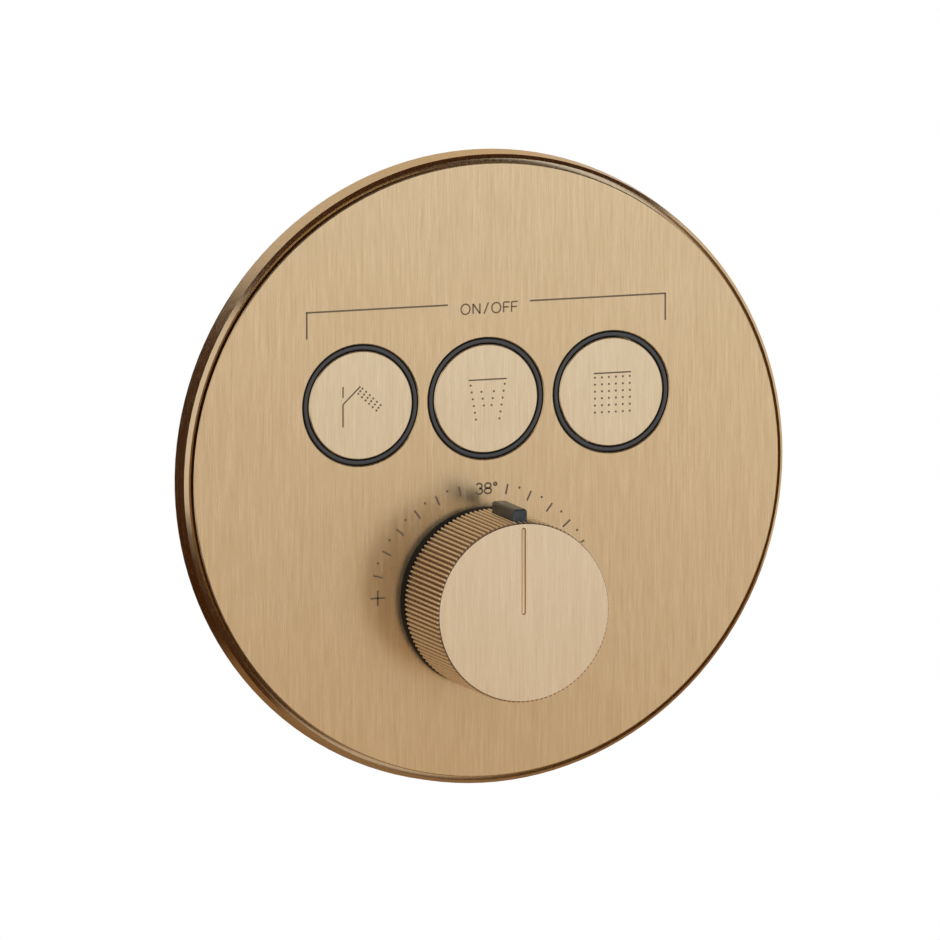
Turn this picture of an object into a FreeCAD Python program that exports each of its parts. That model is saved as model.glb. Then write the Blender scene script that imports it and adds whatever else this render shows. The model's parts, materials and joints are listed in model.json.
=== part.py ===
import FreeCAD, Part
import math
import os

# Concealed thermostatic shower mixer: a round trim plate with three push buttons and a
# temperature knob on the wall, and the valve body that they work inside the wall.
# Lengths are millimetres and angles degrees. X runs right and Z up on the wall, Y runs into it.
# The origin is the centre of the plate, on the face of the wall.

# Rim ring, gasket and face plate
plate_diameter = 180.0
rim_draft = 0.6
rim_side_height = 6.2
rim_lip_height = 7.4
rim_lip_width = 1.0
rim_gap = 1.1
rim_gap_depth = 4.4
rim_seat_inset = 0.7
rim_seat_width = 6.6
rim_ledge_thickness = 2.4
rim_web = 2.0
rim_foot_wall = 1.8
gasket_thickness = 1.8
gasket_play = 0.15
face_height = 8.5
face_thickness = 2.5
edge_break = 0.3

# Plate carrier, its posts and screws, and the snap studs of the face plate
carrier_thickness = 3.0
carrier_play = 0.4
post_radius = 5.5
post_play = 0.6
post_screw_play = 0.3
lower_post_angle = 35.0
carrier_screw_radius = 2.4
carrier_screw_head = 4.5
carrier_screw_head_height = 2.0
carrier_screw_bite = 10.0
stud_rim_gap = 6.0
stud_foot_radius = 6.0
stud_foot_height = 1.0
stud_radius = 3.5
stud_barb = 0.7
stud_barb_length = 2.0
stud_hole_play = 0.3
stud_angles = (65, 115, 225, 315)

# Push buttons
button_sides = ("left", "middle", "right")
button_land = 2.8
button_rise = 20.25
cap_radius = 15.45
cap_gap = 0.35
cap_thickness = 2.2
cap_height = 5.0
cap_skirt_wall = 1.4
cap_boss_wall = 2.0
cap_boss_height = 5.3
bezel_wall = 1.15
bezel_gap = 0.35
bezel_set_back = 0.15
bezel_flange_width = 1.0
rod_radius = 4.0
rod_shoulder = 1.0
running_fit = 0.1

# Temperature knob
knob_drop = 36.1
knob_front_height = 40.0
knob_crest_radius = 25.7
knurl_depth = 0.5
knurl_count = 117
knurl_crest_share = 0.42
knob_wall = 3.7
knob_front_wall = 3.0
pointer_width = 1.3
pointer_depth = 0.6
pointer_end_gap = 1.55
hub_play = 0.3
hub_rear_inset = 0.7
hub_socket_floor = 4.0
hub_lug_half_angle = 20.0
hub_lug_width = 1.6
hub_lug_play = 0.3
knob_turn = 90.0
stop_slack = 0.6
base_ring_thickness = 3.3
base_ring_inset = 0.1
base_ring_gap = 0.3
base_sleeve_inset = 0.5
base_sleeve_wall = 1.6
base_hole_play = 0.3
spline_count = 20
spline_crest_radius = 5.0
spline_depth = 0.5
spline_crest_share = 0.4
spline_end_play = 1.0
grub_radius = 2.0
grub_play = 0.2
grub_set_forward = 10.7
grub_tip_play = 0.05
grub_set_back = 0.6

# Safety button on the knob
safety_width = 4.1
safety_length = 17.4
safety_proud = 3.2
safety_play = 0.2
safety_flange_side = 1.15
safety_flange_drop = 0.6
safety_flange_height = 1.8
safety_flange_inset = 0.6
safety_pocket_play = 0.4
safety_spring_length = 6.6
safety_edge_break = 0.5
safety_spring_radius = 1.7
safety_spring_wire = 0.3
safety_spring_turns = 5

# Valve body inside the wall
body_front = 14.0
mouth_depth = 8.0
pocket_length = 22.0
chamber_length = 12.0
body_end_wall = 4.0
barrel_chamfer = 1.0
barrel_seam_angle = 225.0
thermo_seam_angle = 270.0
pocket_radius = 12.2
mouth_step = 1.8
mouth_wall = 3.5
gallery_wall = 3.2
gallery_bore = 5.5
rib_height = 8.0
duct_wall = 2.9
outlet_neck_height = 8.25
outlet_bore = 6.5
port_radius = 11.0
port_depth = 8.0
port_wall = 2.0
thermo_pocket_radius = 17.8
thermo_mouth_step = 2.2
thermo_chamber_step = 3.8
arm_bore = 8.5
arm_floor_wall = 2.5
inlet_slot_height = 12.0
lug_bite = 0.9
lug_set_back = 6.0
lug_length = 24.0
lug_hole_play = 0.1
lug_hole_end_play = 1.0

# Shut-off cartridges behind the buttons
cartridge_play = 0.2
cartridge_flange_play = 0.3
cartridge_flange_thickness = 2.0
cartridge_front_wall = 6.0
cartridge_wall = 3.5
cartridge_seat_thickness = 3.0
cartridge_seat_radius = 6.0
cartridge_window_width = 7.0
cartridge_window_length = 10.0
poppet_lap = 2.0
poppet_room = 2.2
poppet_thickness = 3.0
poppet_bore_play = 0.05
poppet_spring_radius = 5.5
poppet_spring_wire = 0.5
poppet_spring_turns = 4
nut_play = 0.2
nut_flange_height = 5.0
nut_across_flats = 27.0
nut_bore = 9.0

# Thermostatic cartridge behind the knob
thermo_nut_across_flats = 38.0
thermo_nut_flange_height = 6.0
thermo_nut_bore_play = 0.3
neck_outer = 12.0
neck_step = 0.4
neck_lead = 1.0
journal_radius = 7.0
thermo_wall = 3.4
thermo_rear_wall = 2.0
thermo_rear_bore = 6.5
channel_set_back = 4.8
channel_length = 4.4
channel_spacing = 5.6
channel_depth = 2.6
window_count = 8
window_radius = 1.8
spindle_flange_width = 2.0
spindle_flange_gap = 0.2
spindle_flange_thickness = 1.8
spindle_thread_radius = 5.0
regulator_lead = 4.0
regulator_play = 0.5
regulator_length = 5.5
regulator_rear_wall = 1.4
regulator_wall = 4.2
regulator_thread_play = 0.3
key_width = 3.0
key_bite = 1.0
key_play = 0.3
wax_pin_radius = 2.0
wax_pin_length = 2.5
wax_flange_radius = 7.0
wax_flange_thickness = 2.0
wax_bulb_radius = 4.5
wax_bulb_length = 15.0
shuttle_play = 0.3
shuttle_wall = 1.5
shuttle_lap = 0.3
shuttle_hub_wall = 2.0
shuttle_hub_play = 0.1
shuttle_hub_inset = 0.5
shuttle_spoke_width = 2.4
shuttle_spoke_count = 4
return_spring_seat = 1.5
return_spring_wire = 0.5
return_spring_turns = 3
stop_ring_play = 0.1
stop_ring_wall = 1.8
stop_ring_length = 6.0
stop_ring_front_height = 7.0
stop_lug_gap = 1.5
stop_lug_lap = 3.3

# Ring seals
oring_section = 1.05
oring_play = 0.05
oring_groove_width = 2.3
cartridge_oring_front_offset = 1.6
cartridge_oring_back_offset = 1.8

# Port unions, washers, check valves and strainers
union_spigot_play = 0.2
union_across_flats = 27.0
union_hex_length = 8.0
union_bore = 9.3
union_bore_length = 12.0
union_throat = 6.5
washer_thickness = 1.0
washer_inner_play = 0.2
check_play = 0.2
check_length = 8.0
check_wall = 1.6
check_dome_radius = 4.0
check_spoke_width = 1.6
check_spoke_thickness = 2.0
check_spoke_inset = 1.0
strainer_gap = 1.0
strainer_wall = 0.6
strainer_length = 5.0
strainer_cup_inset = 0.8
strainer_rim_thickness = 1.0
strainer_slot_count = 4
strainer_slot_width = 1.2
strainer_slot_length = 2.4

# Wall bracket behind the body
bracket_thickness = 2.5
bracket_half_width = 43.0
bracket_half_height = 32.0
bracket_corner = 7.0
bracket_hole_radius = 2.75
bracket_hole_edge = 7.0
bracket_window_radius = 9.0
bracket_screw_radius = 1.9
bracket_screw_head = 3.6
bracket_screw_head_height = 1.7
bracket_screw_bite = 7.0
bracket_screw_play = 0.15
bracket_screw_angle = 45.0
bracket_screw_count = 4

# How far every cut runs past the face that it opens
overrun = 1.0

# Places in the trim
rim_radius = plate_diameter / 2
rim_front_radius = rim_radius - rim_draft
lip_radius = rim_front_radius - rim_lip_width
face_radius = lip_radius - rim_gap
seat_outer = face_radius - rim_seat_inset
seat_inner = seat_outer - rim_seat_width
web_inner = seat_outer - rim_web
foot_inner = rim_radius - rim_foot_wall
face_front = -face_height
face_back = face_front + face_thickness
carrier_front = face_back + rim_ledge_thickness
carrier_back = carrier_front + carrier_thickness

# Places of the buttons
bezel_inner = cap_radius + cap_gap
bezel_outer = bezel_inner + bezel_wall
button_hole = bezel_outer + bezel_gap
button_pitch = 2 * button_hole + button_land
cap_back = face_front + cap_thickness
rod_tip_radius = rod_radius - rod_shoulder
button_places = [button_pitch * (i - (len(button_sides) - 1) / 2) for i in range(len(button_sides))]

# Places of the knob and its safety button
knob_z = -knob_drop
knob_front = -knob_front_height
base_ring_front = face_front - base_ring_thickness
knob_rear = base_ring_front - base_ring_gap
knob_inner = knob_crest_radius - knob_wall
hub_radius = knob_inner - hub_play
hub_front = knob_front + knob_front_wall
hub_rear = knob_rear - hub_rear_inset
socket_floor = hub_front + hub_socket_floor
spline_front = socket_floor + spline_end_play
grub_y = knob_rear - grub_set_forward
base_ring_radius = knob_crest_radius - base_ring_inset
base_sleeve_radius = knob_inner - base_sleeve_inset
base_sleeve_inner = base_sleeve_radius - base_sleeve_wall
knob_hole = base_sleeve_radius + base_hole_play
safety_front = hub_front + safety_play
safety_back = safety_front + safety_length
safety_top = knob_crest_radius + safety_proud
safety_flange_top = knob_inner - safety_flange_drop
safety_flange_bottom = safety_flange_top - safety_flange_height
safety_pocket_floor = safety_flange_bottom - safety_spring_length

# Places in the valve body
mouth_floor = body_front + mouth_depth
seat_y = mouth_floor + pocket_length
chamber_end = seat_y + chamber_length
body_back = chamber_end + body_end_wall
gallery_y = (seat_y + chamber_end) / 2
outlet_y = (mouth_floor + seat_y) / 2
mouth_radius = pocket_radius + mouth_step
barrel_radius = mouth_radius + mouth_wall
thermo_mouth_radius = thermo_pocket_radius + thermo_mouth_step
thermo_barrel_radius = thermo_mouth_radius + mouth_wall
thermo_chamber_radius = thermo_pocket_radius - thermo_chamber_step
neck_radius = port_radius + port_wall
outlet_top = button_rise + barrel_radius + outlet_neck_height
outlet_port_floor = outlet_top - port_depth
arm_floor = thermo_barrel_radius + arm_floor_wall
strainer_reach = arm_floor + check_length + strainer_gap
arm_port_floor = strainer_reach + strainer_length
arm_reach = arm_port_floor + port_depth
lug_face = body_front + lug_set_back
carrier_screw_end = lug_face + carrier_screw_bite
bracket_back = body_back + bracket_thickness
bracket_screw_circle = (thermo_barrel_radius + thermo_chamber_radius) / 2
bracket_screw_hole = bracket_screw_radius + bracket_screw_play
bracket_screw_neck = bracket_back - bracket_screw_head_height

# Places in the shut-off cartridges
cartridge_front = mouth_floor - cartridge_flange_thickness
cartridge_radius = pocket_radius - cartridge_play
cartridge_chamber_radius = cartridge_radius - cartridge_wall
cartridge_chamber_front = cartridge_front + cartridge_front_wall
cartridge_seat_front = seat_y - cartridge_seat_thickness
poppet_radius = cartridge_seat_radius + poppet_lap
poppet_back = seat_y + poppet_thickness
valve_chamber_radius = poppet_radius + poppet_room
cartridge_oring_places = (mouth_floor + cartridge_oring_front_offset, seat_y - cartridge_oring_back_offset)

# Places in the thermostatic cartridge
thermo_radius = thermo_pocket_radius - cartridge_play
channel_radius = thermo_radius - channel_depth
thermo_bore = channel_radius - thermo_wall
thermo_rear_face = seat_y - thermo_rear_wall
hot_channel_front = mouth_floor + channel_set_back
hot_channel_back = hot_channel_front + channel_length
cold_channel_front = hot_channel_back + channel_spacing
cold_channel_back = cold_channel_front + channel_length
hot_channel = (hot_channel_front, hot_channel_back)
cold_channel = (cold_channel_front, cold_channel_back)
arm_y = (hot_channel_front + cold_channel_back) / 2
thermo_oring_places = (
    (mouth_floor + hot_channel_front) / 2,
    (hot_channel_back + cold_channel_front) / 2,
    (cold_channel_back + seat_y) / 2,
)
neck_front_outer = neck_outer - neck_step
stop_ring_front = -stop_ring_front_height
stop_ring_back = stop_ring_front + stop_ring_length
stop_ring_inner = neck_front_outer + stop_ring_play
stop_ring_outer = stop_ring_inner + stop_ring_wall
stop_lug_front = hub_rear + stop_lug_gap
hub_lug_inner = stop_ring_outer + hub_lug_play
hub_lug_outer = hub_lug_inner + hub_lug_width
hub_lug_rear = stop_lug_front + stop_lug_lap
neck_front = stop_ring_front - neck_lead
spindle_flange_radius = journal_radius + spindle_flange_width
spindle_flange_front = cartridge_front + spindle_flange_gap
spindle_flange_back = spindle_flange_front + spindle_flange_thickness
regulator_travel = regulator_lead * knob_turn / 360
regulator_front = spindle_flange_back + regulator_travel + regulator_play
regulator_back = regulator_front + regulator_length
regulator_floor = regulator_back - regulator_rear_wall
regulator_bore = spindle_thread_radius + regulator_thread_play
regulator_radius = regulator_bore + regulator_wall
spindle_thread_end = regulator_floor - regulator_travel - regulator_play
key_reach = thermo_bore + key_bite
wax_flange_front = regulator_back + wax_pin_length
wax_flange_back = wax_flange_front + wax_flange_thickness
wax_end = wax_flange_back + wax_bulb_length
shuttle_radius = thermo_bore - shuttle_play
shuttle_front = hot_channel_back + shuttle_lap
shuttle_back = cold_channel_front - shuttle_lap
shuttle_hub_back = shuttle_back - shuttle_hub_inset
return_spring_radius = thermo_rear_bore + return_spring_seat


def around(distance, angle):
    """The X and Z of a point at an angle from +X, round the knob's axis."""
    turn = math.radians(angle)
    return distance * math.cos(turn), knob_z + distance * math.sin(turn)


post_stand_off = post_radius + post_play
lug_radius = post_stand_off + lug_bite
upper_post_x = button_pitch / 2
upper_post_rise = math.sqrt((barrel_radius + post_stand_off) ** 2 - upper_post_x ** 2)
upper_post_z = button_rise + upper_post_rise
lower_post_angles = (180 + lower_post_angle, 360 - lower_post_angle)
lower_post_reach = max(thermo_barrel_radius + post_stand_off, knob_hole + carrier_screw_head + post_play)
lower_posts = [around(lower_post_reach, angle) for angle in lower_post_angles]
post_places = [(-upper_post_x, upper_post_z), (upper_post_x, upper_post_z)] + lower_posts
stud_circle = seat_inner - stud_foot_radius - stud_rim_gap
stud_places = [
    (stud_circle * math.cos(math.radians(a)), stud_circle * math.sin(math.radians(a))) for a in stud_angles
]


def along_y(radius, start, end, x=0, z=0):
    """A round bar square to the wall."""
    return Part.makeCylinder(radius, end - start, FreeCAD.Vector(x, start, z), FreeCAD.Vector(0, 1, 0))


def along_x(radius, start, end, y, z):
    """A round bar that runs across the wall."""
    return Part.makeCylinder(radius, end - start, FreeCAD.Vector(start, y, z), FreeCAD.Vector(1, 0, 0))


def along_z(radius, start, end, x, y):
    """A round bar that runs up the wall."""
    return Part.makeCylinder(radius, end - start, FreeCAD.Vector(x, y, start), FreeCAD.Vector(0, 0, 1))


def block(x_range, y_range, z_range):
    """A plain block between three pairs of limits."""
    sizes = [high - low for low, high in (x_range, y_range, z_range)]
    return Part.makeBox(*sizes, FreeCAD.Vector(x_range[0], y_range[0], z_range[0]))


def joined(first, others):
    """One solid from a first piece and the others added to it one by one."""
    for other in others:
        first = first.fuse(other)
    return first


def without(shape, cutters):
    """A shape with each cutter taken out of it in turn."""
    for cutter in cutters:
        shape = shape.cut(cutter)
    return shape


def turned(profile, x=0, z=0):
    """A profile of radius and Y points turned about an axis square to the wall."""
    points = [FreeCAD.Vector(radius, y, 0) for radius, y in profile]
    face = Part.Face(Part.makePolygon(points + points[:1]))
    solid = face.revolve(FreeCAD.Vector(0, 0, 0), FreeCAD.Vector(0, 1, 0), 360)
    solid.translate(FreeCAD.Vector(x, 0, z))
    return solid


def prism(outline, start, end):
    """An outline of X and Z points drawn out along Y."""
    points = [FreeCAD.Vector(x, start, z) for x, z in outline]
    return Part.Face(Part.makePolygon(points + points[:1])).extrude(FreeCAD.Vector(0, end - start, 0))


def hexagon_corners(across_flats):
    """The six corners of a hexagon round the origin."""
    corner = across_flats / math.sqrt(3)
    turns = [math.radians(60 * i) for i in range(6)]
    return [(corner * math.cos(turn), corner * math.sin(turn)) for turn in turns]


def hexagon(across_flats, start, end, x, z):
    """A hexagonal bar square to the wall."""
    return prism([(x + u, z + v) for u, v in hexagon_corners(across_flats)], start, end)


def toothed(count, crest, root, crest_share, start, end, z):
    """A bar with straight ridges along it, as on a knurl or a spline."""
    outline = []
    pitch = 2 * math.pi / count
    for i in range(count):
        middle = math.pi / 2 + i * pitch
        half = pitch * crest_share / 2
        for radius, turn in ((crest, middle - half), (crest, middle + half), (root, middle + pitch / 2)):
            outline.append((radius * math.cos(turn), z + radius * math.sin(turn)))
    return prism(outline, start, end)


def sector(inner, outer, start, end, middle_angle, half_angle, z=0):
    """A slice of a ring between two angles, counted from +X towards +Z."""
    first = math.radians(middle_angle - half_angle)
    middle = math.radians(middle_angle)
    last = math.radians(middle_angle + half_angle)

    def at(radius, turn):
        return FreeCAD.Vector(radius * math.cos(turn), start, z + radius * math.sin(turn))

    edges = [
        Part.Arc(at(outer, first), at(outer, middle), at(outer, last)).toShape(),
        Part.makeLine(at(outer, last), at(inner, last)),
        Part.Arc(at(inner, last), at(inner, middle), at(inner, first)).toShape(),
        Part.makeLine(at(inner, first), at(outer, first)),
    ]
    return Part.Face(Part.Wire(edges)).extrude(FreeCAD.Vector(0, end - start, 0))


def ring_seal(radius, y, x, z):
    """A round-section seal lying square to an axis along Y."""
    return Part.makeTorus(radius, oring_section, FreeCAD.Vector(x, y, z), FreeCAD.Vector(0, 1, 0))


def seal_groove(outer, y, x, z):
    """The cut for a ring seal in a round body of this radius."""
    inner = outer - 2 * oring_section - oring_play + cartridge_play
    half = oring_groove_width / 2
    mouth = outer + overrun
    return turned([(inner, y - half), (mouth, y - half), (mouth, y + half), (inner, y + half)], x, z)


def seal_radius(pocket):
    """The middle radius of a ring seal that presses on a pocket of this radius."""
    return pocket - oring_play - oring_section


def corner_arc(start, corner, end):
    """The arc from start to end that is tangent to both sides of a corner."""
    middle = (start + end) * 0.5
    rise = (corner - middle).Length
    half_chord = (end - start).Length / 2
    half_turn = math.atan2(rise, half_chord)
    crown = middle + (corner - middle) * (half_chord * math.tan(half_turn / 2) / rise)
    return Part.Arc(start, crown, end).toShape()


def biarc(start, start_way, end, end_way):
    """Two arcs that leave start and reach end along the given unit directions."""
    chord = end - start
    ways = start_way + end_way
    turn = 2 * (1 - start_way.dot(end_way))
    along = chord.dot(ways)
    reach = (math.sqrt(along * along + turn * chord.dot(chord)) - along) / turn
    joint = (start + end + (start_way - end_way) * reach) * 0.5
    return [
        corner_arc(start, start + start_way * reach, joint),
        corner_arc(joint, end - end_way * reach, end),
    ]


def coil_spring(name, radius, wire, turns, length):
    """A round-wire spring from the origin up +Z, as one unbroken tube."""
    climb = length - 2 * wire
    rise = climb / (2 * math.pi * turns)
    quarter = math.pi / 2

    def at(turn):
        return FreeCAD.Vector(radius * math.cos(turn), radius * math.sin(turn), wire + rise * turn)

    def way(turn):
        return FreeCAD.Vector(-radius * math.sin(turn), radius * math.cos(turn), rise).normalize()

    edges = []
    for i in range(4 * turns):
        edges += biarc(at(i * quarter), way(i * quarter), at((i + 1) * quarter), way((i + 1) * quarter))
    samples = [at(i * quarter / 8) for i in range(32 * turns + 1)]
    gap = min((b - a).Length for i, a in enumerate(samples) for b in samples[i + 16:]) - 2 * wire
    print(name, "least gap to itself", round(gap, 3), "mm")
    section = Part.Wire(Part.makeCircle(wire, at(0), way(0)))
    return Part.Wire(edges).makePipeShell([section], True, False)


def lay_along_y(shape, y, x, z):
    """Turns a shape that climbs +Z so that it runs into the wall from this place."""
    shape.rotate(FreeCAD.Vector(0, 0, 0), FreeCAD.Vector(1, 0, 0), -90)
    shape.translate(FreeCAD.Vector(x, y, z))
    return shape


def rim_ring():
    """The ring on the wall: a drafted side, a chamfered lip, a shadow gap and the disc's seat."""
    gap_floor = rim_gap_depth - rim_lip_height
    return turned([
        (rim_radius, 0), (rim_front_radius, -rim_side_height), (lip_radius, -rim_lip_height),
        (lip_radius, gap_floor), (seat_outer, gap_floor), (seat_outer, face_back),
        (seat_inner, face_back), (seat_inner, carrier_front), (web_inner, carrier_front),
        (web_inner, -gasket_thickness), (foot_inner, -gasket_thickness), (foot_inner, 0),
    ])


def wall_gasket():
    """The flat seal between the rim ring and the tiles."""
    inner = web_inner + gasket_play
    outer = foot_inner - gasket_play
    return turned([(inner, 0), (outer, 0), (outer, -gasket_thickness), (inner, -gasket_thickness)])


def hole_with_break(radius, x, z):
    """The cut for a hole in the face plate with a broken front edge."""
    return turned([
        (0, face_front - overrun), (radius + edge_break + overrun, face_front - overrun),
        (radius, face_front + edge_break), (radius, face_back + overrun), (0, face_back + overrun),
    ], x, z)


def face_plate():
    """The brushed disc with its three button holes and the knob's hole."""
    disc = turned([
        (0, face_front), (face_radius - edge_break, face_front), (face_radius, face_front + edge_break),
        (face_radius, face_back), (0, face_back),
    ])
    holes = [hole_with_break(button_hole, x, button_rise) for x in button_places]
    holes.append(along_y(knob_hole, face_front - overrun, face_back + overrun, 0, knob_z))
    return without(disc, holes)


def snap_studs():
    """Studs on the back of the face plate that snap into the carrier."""
    foot = face_back + stud_foot_height
    tip = carrier_back + stud_barb_length
    profile = [
        (0, face_back), (stud_foot_radius, face_back), (stud_foot_radius, foot), (stud_radius, foot),
        (stud_radius, carrier_back), (stud_radius + stud_barb, carrier_back), (stud_radius, tip), (0, tip),
    ]
    return Part.Compound([turned(profile, x, z) for x, z in stud_places])


def plate_carrier():
    """The moulded plate that stands on the valve body and carries the trim."""
    plate = along_y(web_inner - carrier_play, carrier_front, carrier_back)
    posts = [along_y(post_radius, carrier_back, lug_face, x, z) for x, z in post_places]
    across = (carrier_front - overrun, carrier_back + overrun)
    screw_hole = carrier_screw_radius + post_screw_play
    stud_hole = stud_radius + stud_hole_play
    cuts = [along_y(bezel_inner, *across, x, button_rise) for x in button_places]
    cuts.append(along_y(knob_hole, *across, 0, knob_z))
    cuts += [along_y(screw_hole, carrier_front - overrun, lug_face + overrun, x, z) for x, z in post_places]
    cuts += [along_y(stud_hole, *across, x, z) for x, z in stud_places]
    return without(joined(plate, posts), cuts)


def carrier_screws():
    """Pan-head screws through the carrier's posts into the valve body."""
    head = carrier_front - carrier_screw_head_height
    end = carrier_screw_end
    profile = [
        (0, head), (carrier_screw_head, head), (carrier_screw_head, carrier_front),
        (carrier_screw_radius, carrier_front), (carrier_screw_radius, end), (0, end),
    ]
    return Part.Compound([turned(profile, x, z) for x, z in post_places])


def button_bezel(x):
    """The dark guide sleeve round a cap, flanged behind the face plate."""
    front = face_front + bezel_set_back
    flange = button_hole + bezel_flange_width
    return turned([
        (bezel_inner, front), (bezel_outer, front), (bezel_outer, face_back),
        (flange, face_back), (flange, carrier_front), (bezel_inner, carrier_front),
    ], x, button_rise)


def button_cap(x):
    """A metal cap, flush with the plate, with a skirt and a socket for its rod."""
    skirt_end = face_front + cap_height
    skirt_inner = cap_radius - cap_skirt_wall
    boss_end = cap_back + cap_boss_height
    socket = rod_radius + running_fit
    boss = socket + cap_boss_wall
    return turned([
        (0, face_front), (cap_radius - edge_break, face_front), (cap_radius, face_front + edge_break),
        (cap_radius, skirt_end), (skirt_inner, skirt_end), (skirt_inner, cap_back),
        (boss, cap_back), (boss, boss_end), (socket, boss_end), (socket, cap_back), (0, cap_back),
    ], x, button_rise)


def push_rod(x):
    """The rod from a cap, through the cartridge's guide, to the poppet behind the seat."""
    return turned([
        (0, cap_back), (rod_radius, cap_back), (rod_radius, cartridge_chamber_front),
        (rod_tip_radius, cartridge_chamber_front), (rod_tip_radius, poppet_back), (0, poppet_back),
    ], x, button_rise)


def valve_poppet(x):
    """The disc that the rod pushes off the seat to let water through."""
    inner = rod_tip_radius + poppet_bore_play
    return turned([
        (inner, seat_y), (poppet_radius, seat_y), (poppet_radius, poppet_back), (inner, poppet_back),
    ], x, button_rise)


def poppet_spring(side, x):
    """The spring that shuts the poppet and returns the button."""
    spring = coil_spring(
        "poppet_spring_" + side, poppet_spring_radius, poppet_spring_wire, poppet_spring_turns,
        chamber_end - poppet_back,
    )
    return lay_along_y(spring, poppet_back, x, button_rise)


def valve_cartridge(x):
    """The housing of one shut-off valve, with the rod's guide, four windows and the seat."""
    guide = rod_radius + running_fit
    flange = mouth_radius - cartridge_flange_play
    housing = turned([
        (guide, cartridge_front), (flange, cartridge_front), (flange, mouth_floor),
        (cartridge_radius, mouth_floor), (cartridge_radius, seat_y), (cartridge_seat_radius, seat_y),
        (cartridge_seat_radius, cartridge_seat_front), (cartridge_chamber_radius, cartridge_seat_front),
        (cartridge_chamber_radius, cartridge_chamber_front), (guide, cartridge_chamber_front),
    ], x, button_rise)
    window_front = (cartridge_chamber_front + cartridge_seat_front - cartridge_window_length) / 2
    window = (window_front, window_front + cartridge_window_length)
    half = cartridge_window_width / 2
    reach = cartridge_radius + overrun
    cuts = [
        block((x - reach, x + reach), window, (button_rise - half, button_rise + half)),
        block((x - half, x + half), window, (button_rise - reach, button_rise + reach)),
    ]
    cuts += [seal_groove(cartridge_radius, y, x, button_rise) for y in cartridge_oring_places]
    return without(housing, cuts)


def cartridge_seals():
    """The ring seals of the three shut-off cartridges."""
    radius = seal_radius(pocket_radius)
    places = [(x, y) for x in button_places for y in cartridge_oring_places]
    return Part.Compound([ring_seal(radius, y, x, button_rise) for x, y in places])


def retaining_nut(across_flats, flange_height, thread_radius, bore, x, z):
    """A hexagonal nut that screws into a pocket's mouth and holds a cartridge down."""
    front = body_front - flange_height
    nut = hexagon(across_flats, front, body_front, x, z)
    nut = nut.fuse(along_y(thread_radius - nut_play, body_front, cartridge_front, x, z))
    return nut.cut(along_y(bore, front - overrun, cartridge_front + overrun, x, z)).removeSplitter()


def knob_shell():
    """The knurled cup of the knob, with the pointer groove and the safety button's slot."""
    root = knob_crest_radius - knurl_depth
    shell = toothed(knurl_count, knob_crest_radius, root, knurl_crest_share, knob_front, knob_rear, knob_z)
    half_slot = safety_width / 2 + safety_play
    half_pointer = pointer_width / 2
    pointer_end = knob_z + knob_crest_radius - pointer_end_gap - half_pointer
    groove = (knob_front - overrun, knob_front + pointer_depth)
    cuts = [
        along_y(knob_inner, hub_front, knob_rear + overrun, 0, knob_z),
        block(
            (-half_slot, half_slot), (safety_front - safety_play, safety_back + safety_play),
            (knob_z, knob_z + knob_crest_radius + overrun),
        ),
        block((-half_pointer, half_pointer), groove, (knob_z, pointer_end)),
        along_y(half_pointer, *groove, 0, knob_z),
        along_y(half_pointer, *groove, 0, pointer_end),
        along_z(grub_radius + grub_play, knob_z - knob_crest_radius - overrun, knob_z, 0, grub_y),
    ]
    return without(shell, cuts)


def knob_hub():
    """The moulded insert of the knob, with the spindle's socket and the end-stop lug."""
    hub = along_y(hub_radius, hub_front, hub_rear, 0, knob_z)
    lug = sector(hub_lug_inner, hub_lug_outer, hub_rear, hub_lug_rear, 90, hub_lug_half_angle, knob_z)
    half_pocket = safety_width / 2 + safety_flange_side + safety_pocket_play
    socket = toothed(
        spline_count, spline_crest_radius + running_fit, spline_crest_radius - spline_depth + running_fit,
        spline_crest_share, socket_floor, hub_rear + overrun, knob_z,
    )
    cuts = [
        socket,
        block(
            (-half_pocket, half_pocket), (hub_front - overrun, safety_back + safety_pocket_play),
            (knob_z + safety_pocket_floor, knob_z + hub_radius + overrun),
        ),
        along_z(grub_radius + grub_play, knob_z - hub_radius - overrun, knob_z, 0, grub_y),
    ]
    return without(hub.fuse(lug), cuts)


def knob_grub_screw():
    """The set screw under the knob that grips the spindle."""
    tip = knob_z - spline_crest_radius - grub_tip_play
    return along_z(grub_radius, knob_z - knob_inner + grub_set_back, tip, 0, grub_y)


def knob_base_ring():
    """The black ring between knob and plate, with a sleeve down to the carrier."""
    return turned([
        (base_sleeve_inner, base_ring_front), (base_ring_radius, base_ring_front),
        (base_ring_radius, face_front), (base_sleeve_radius, face_front),
        (base_sleeve_radius, carrier_front), (base_sleeve_inner, carrier_front),
    ], 0, knob_z)


def safety_button():
    """The block in the knob's slot that frees it past 38 degrees, with a flange that keeps it in."""
    half = safety_width / 2
    block_part = block(
        (-half, half), (safety_front, safety_back), (knob_z + safety_flange_bottom, knob_z + safety_top),
    )
    near_top = knob_z + safety_top - safety_edge_break
    top_edges = [e for e in block_part.Edges if min(v.Point.z for v in e.Vertexes) > near_top]
    block_part = block_part.makeChamfer(safety_edge_break, top_edges)
    reach = half + safety_flange_side
    flange = block(
        (-reach, reach), (safety_front + safety_flange_inset, safety_back - safety_flange_inset),
        (knob_z + safety_flange_bottom, knob_z + safety_flange_top),
    )
    return block_part.fuse(flange).removeSplitter()


def safety_spring():
    """The spring under the safety button."""
    spring = coil_spring(
        "safety_spring", safety_spring_radius, safety_spring_wire, safety_spring_turns, safety_spring_length,
    )
    spring.translate(FreeCAD.Vector(0, (safety_front + safety_back) / 2, knob_z + safety_pocket_floor))
    return spring


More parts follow.
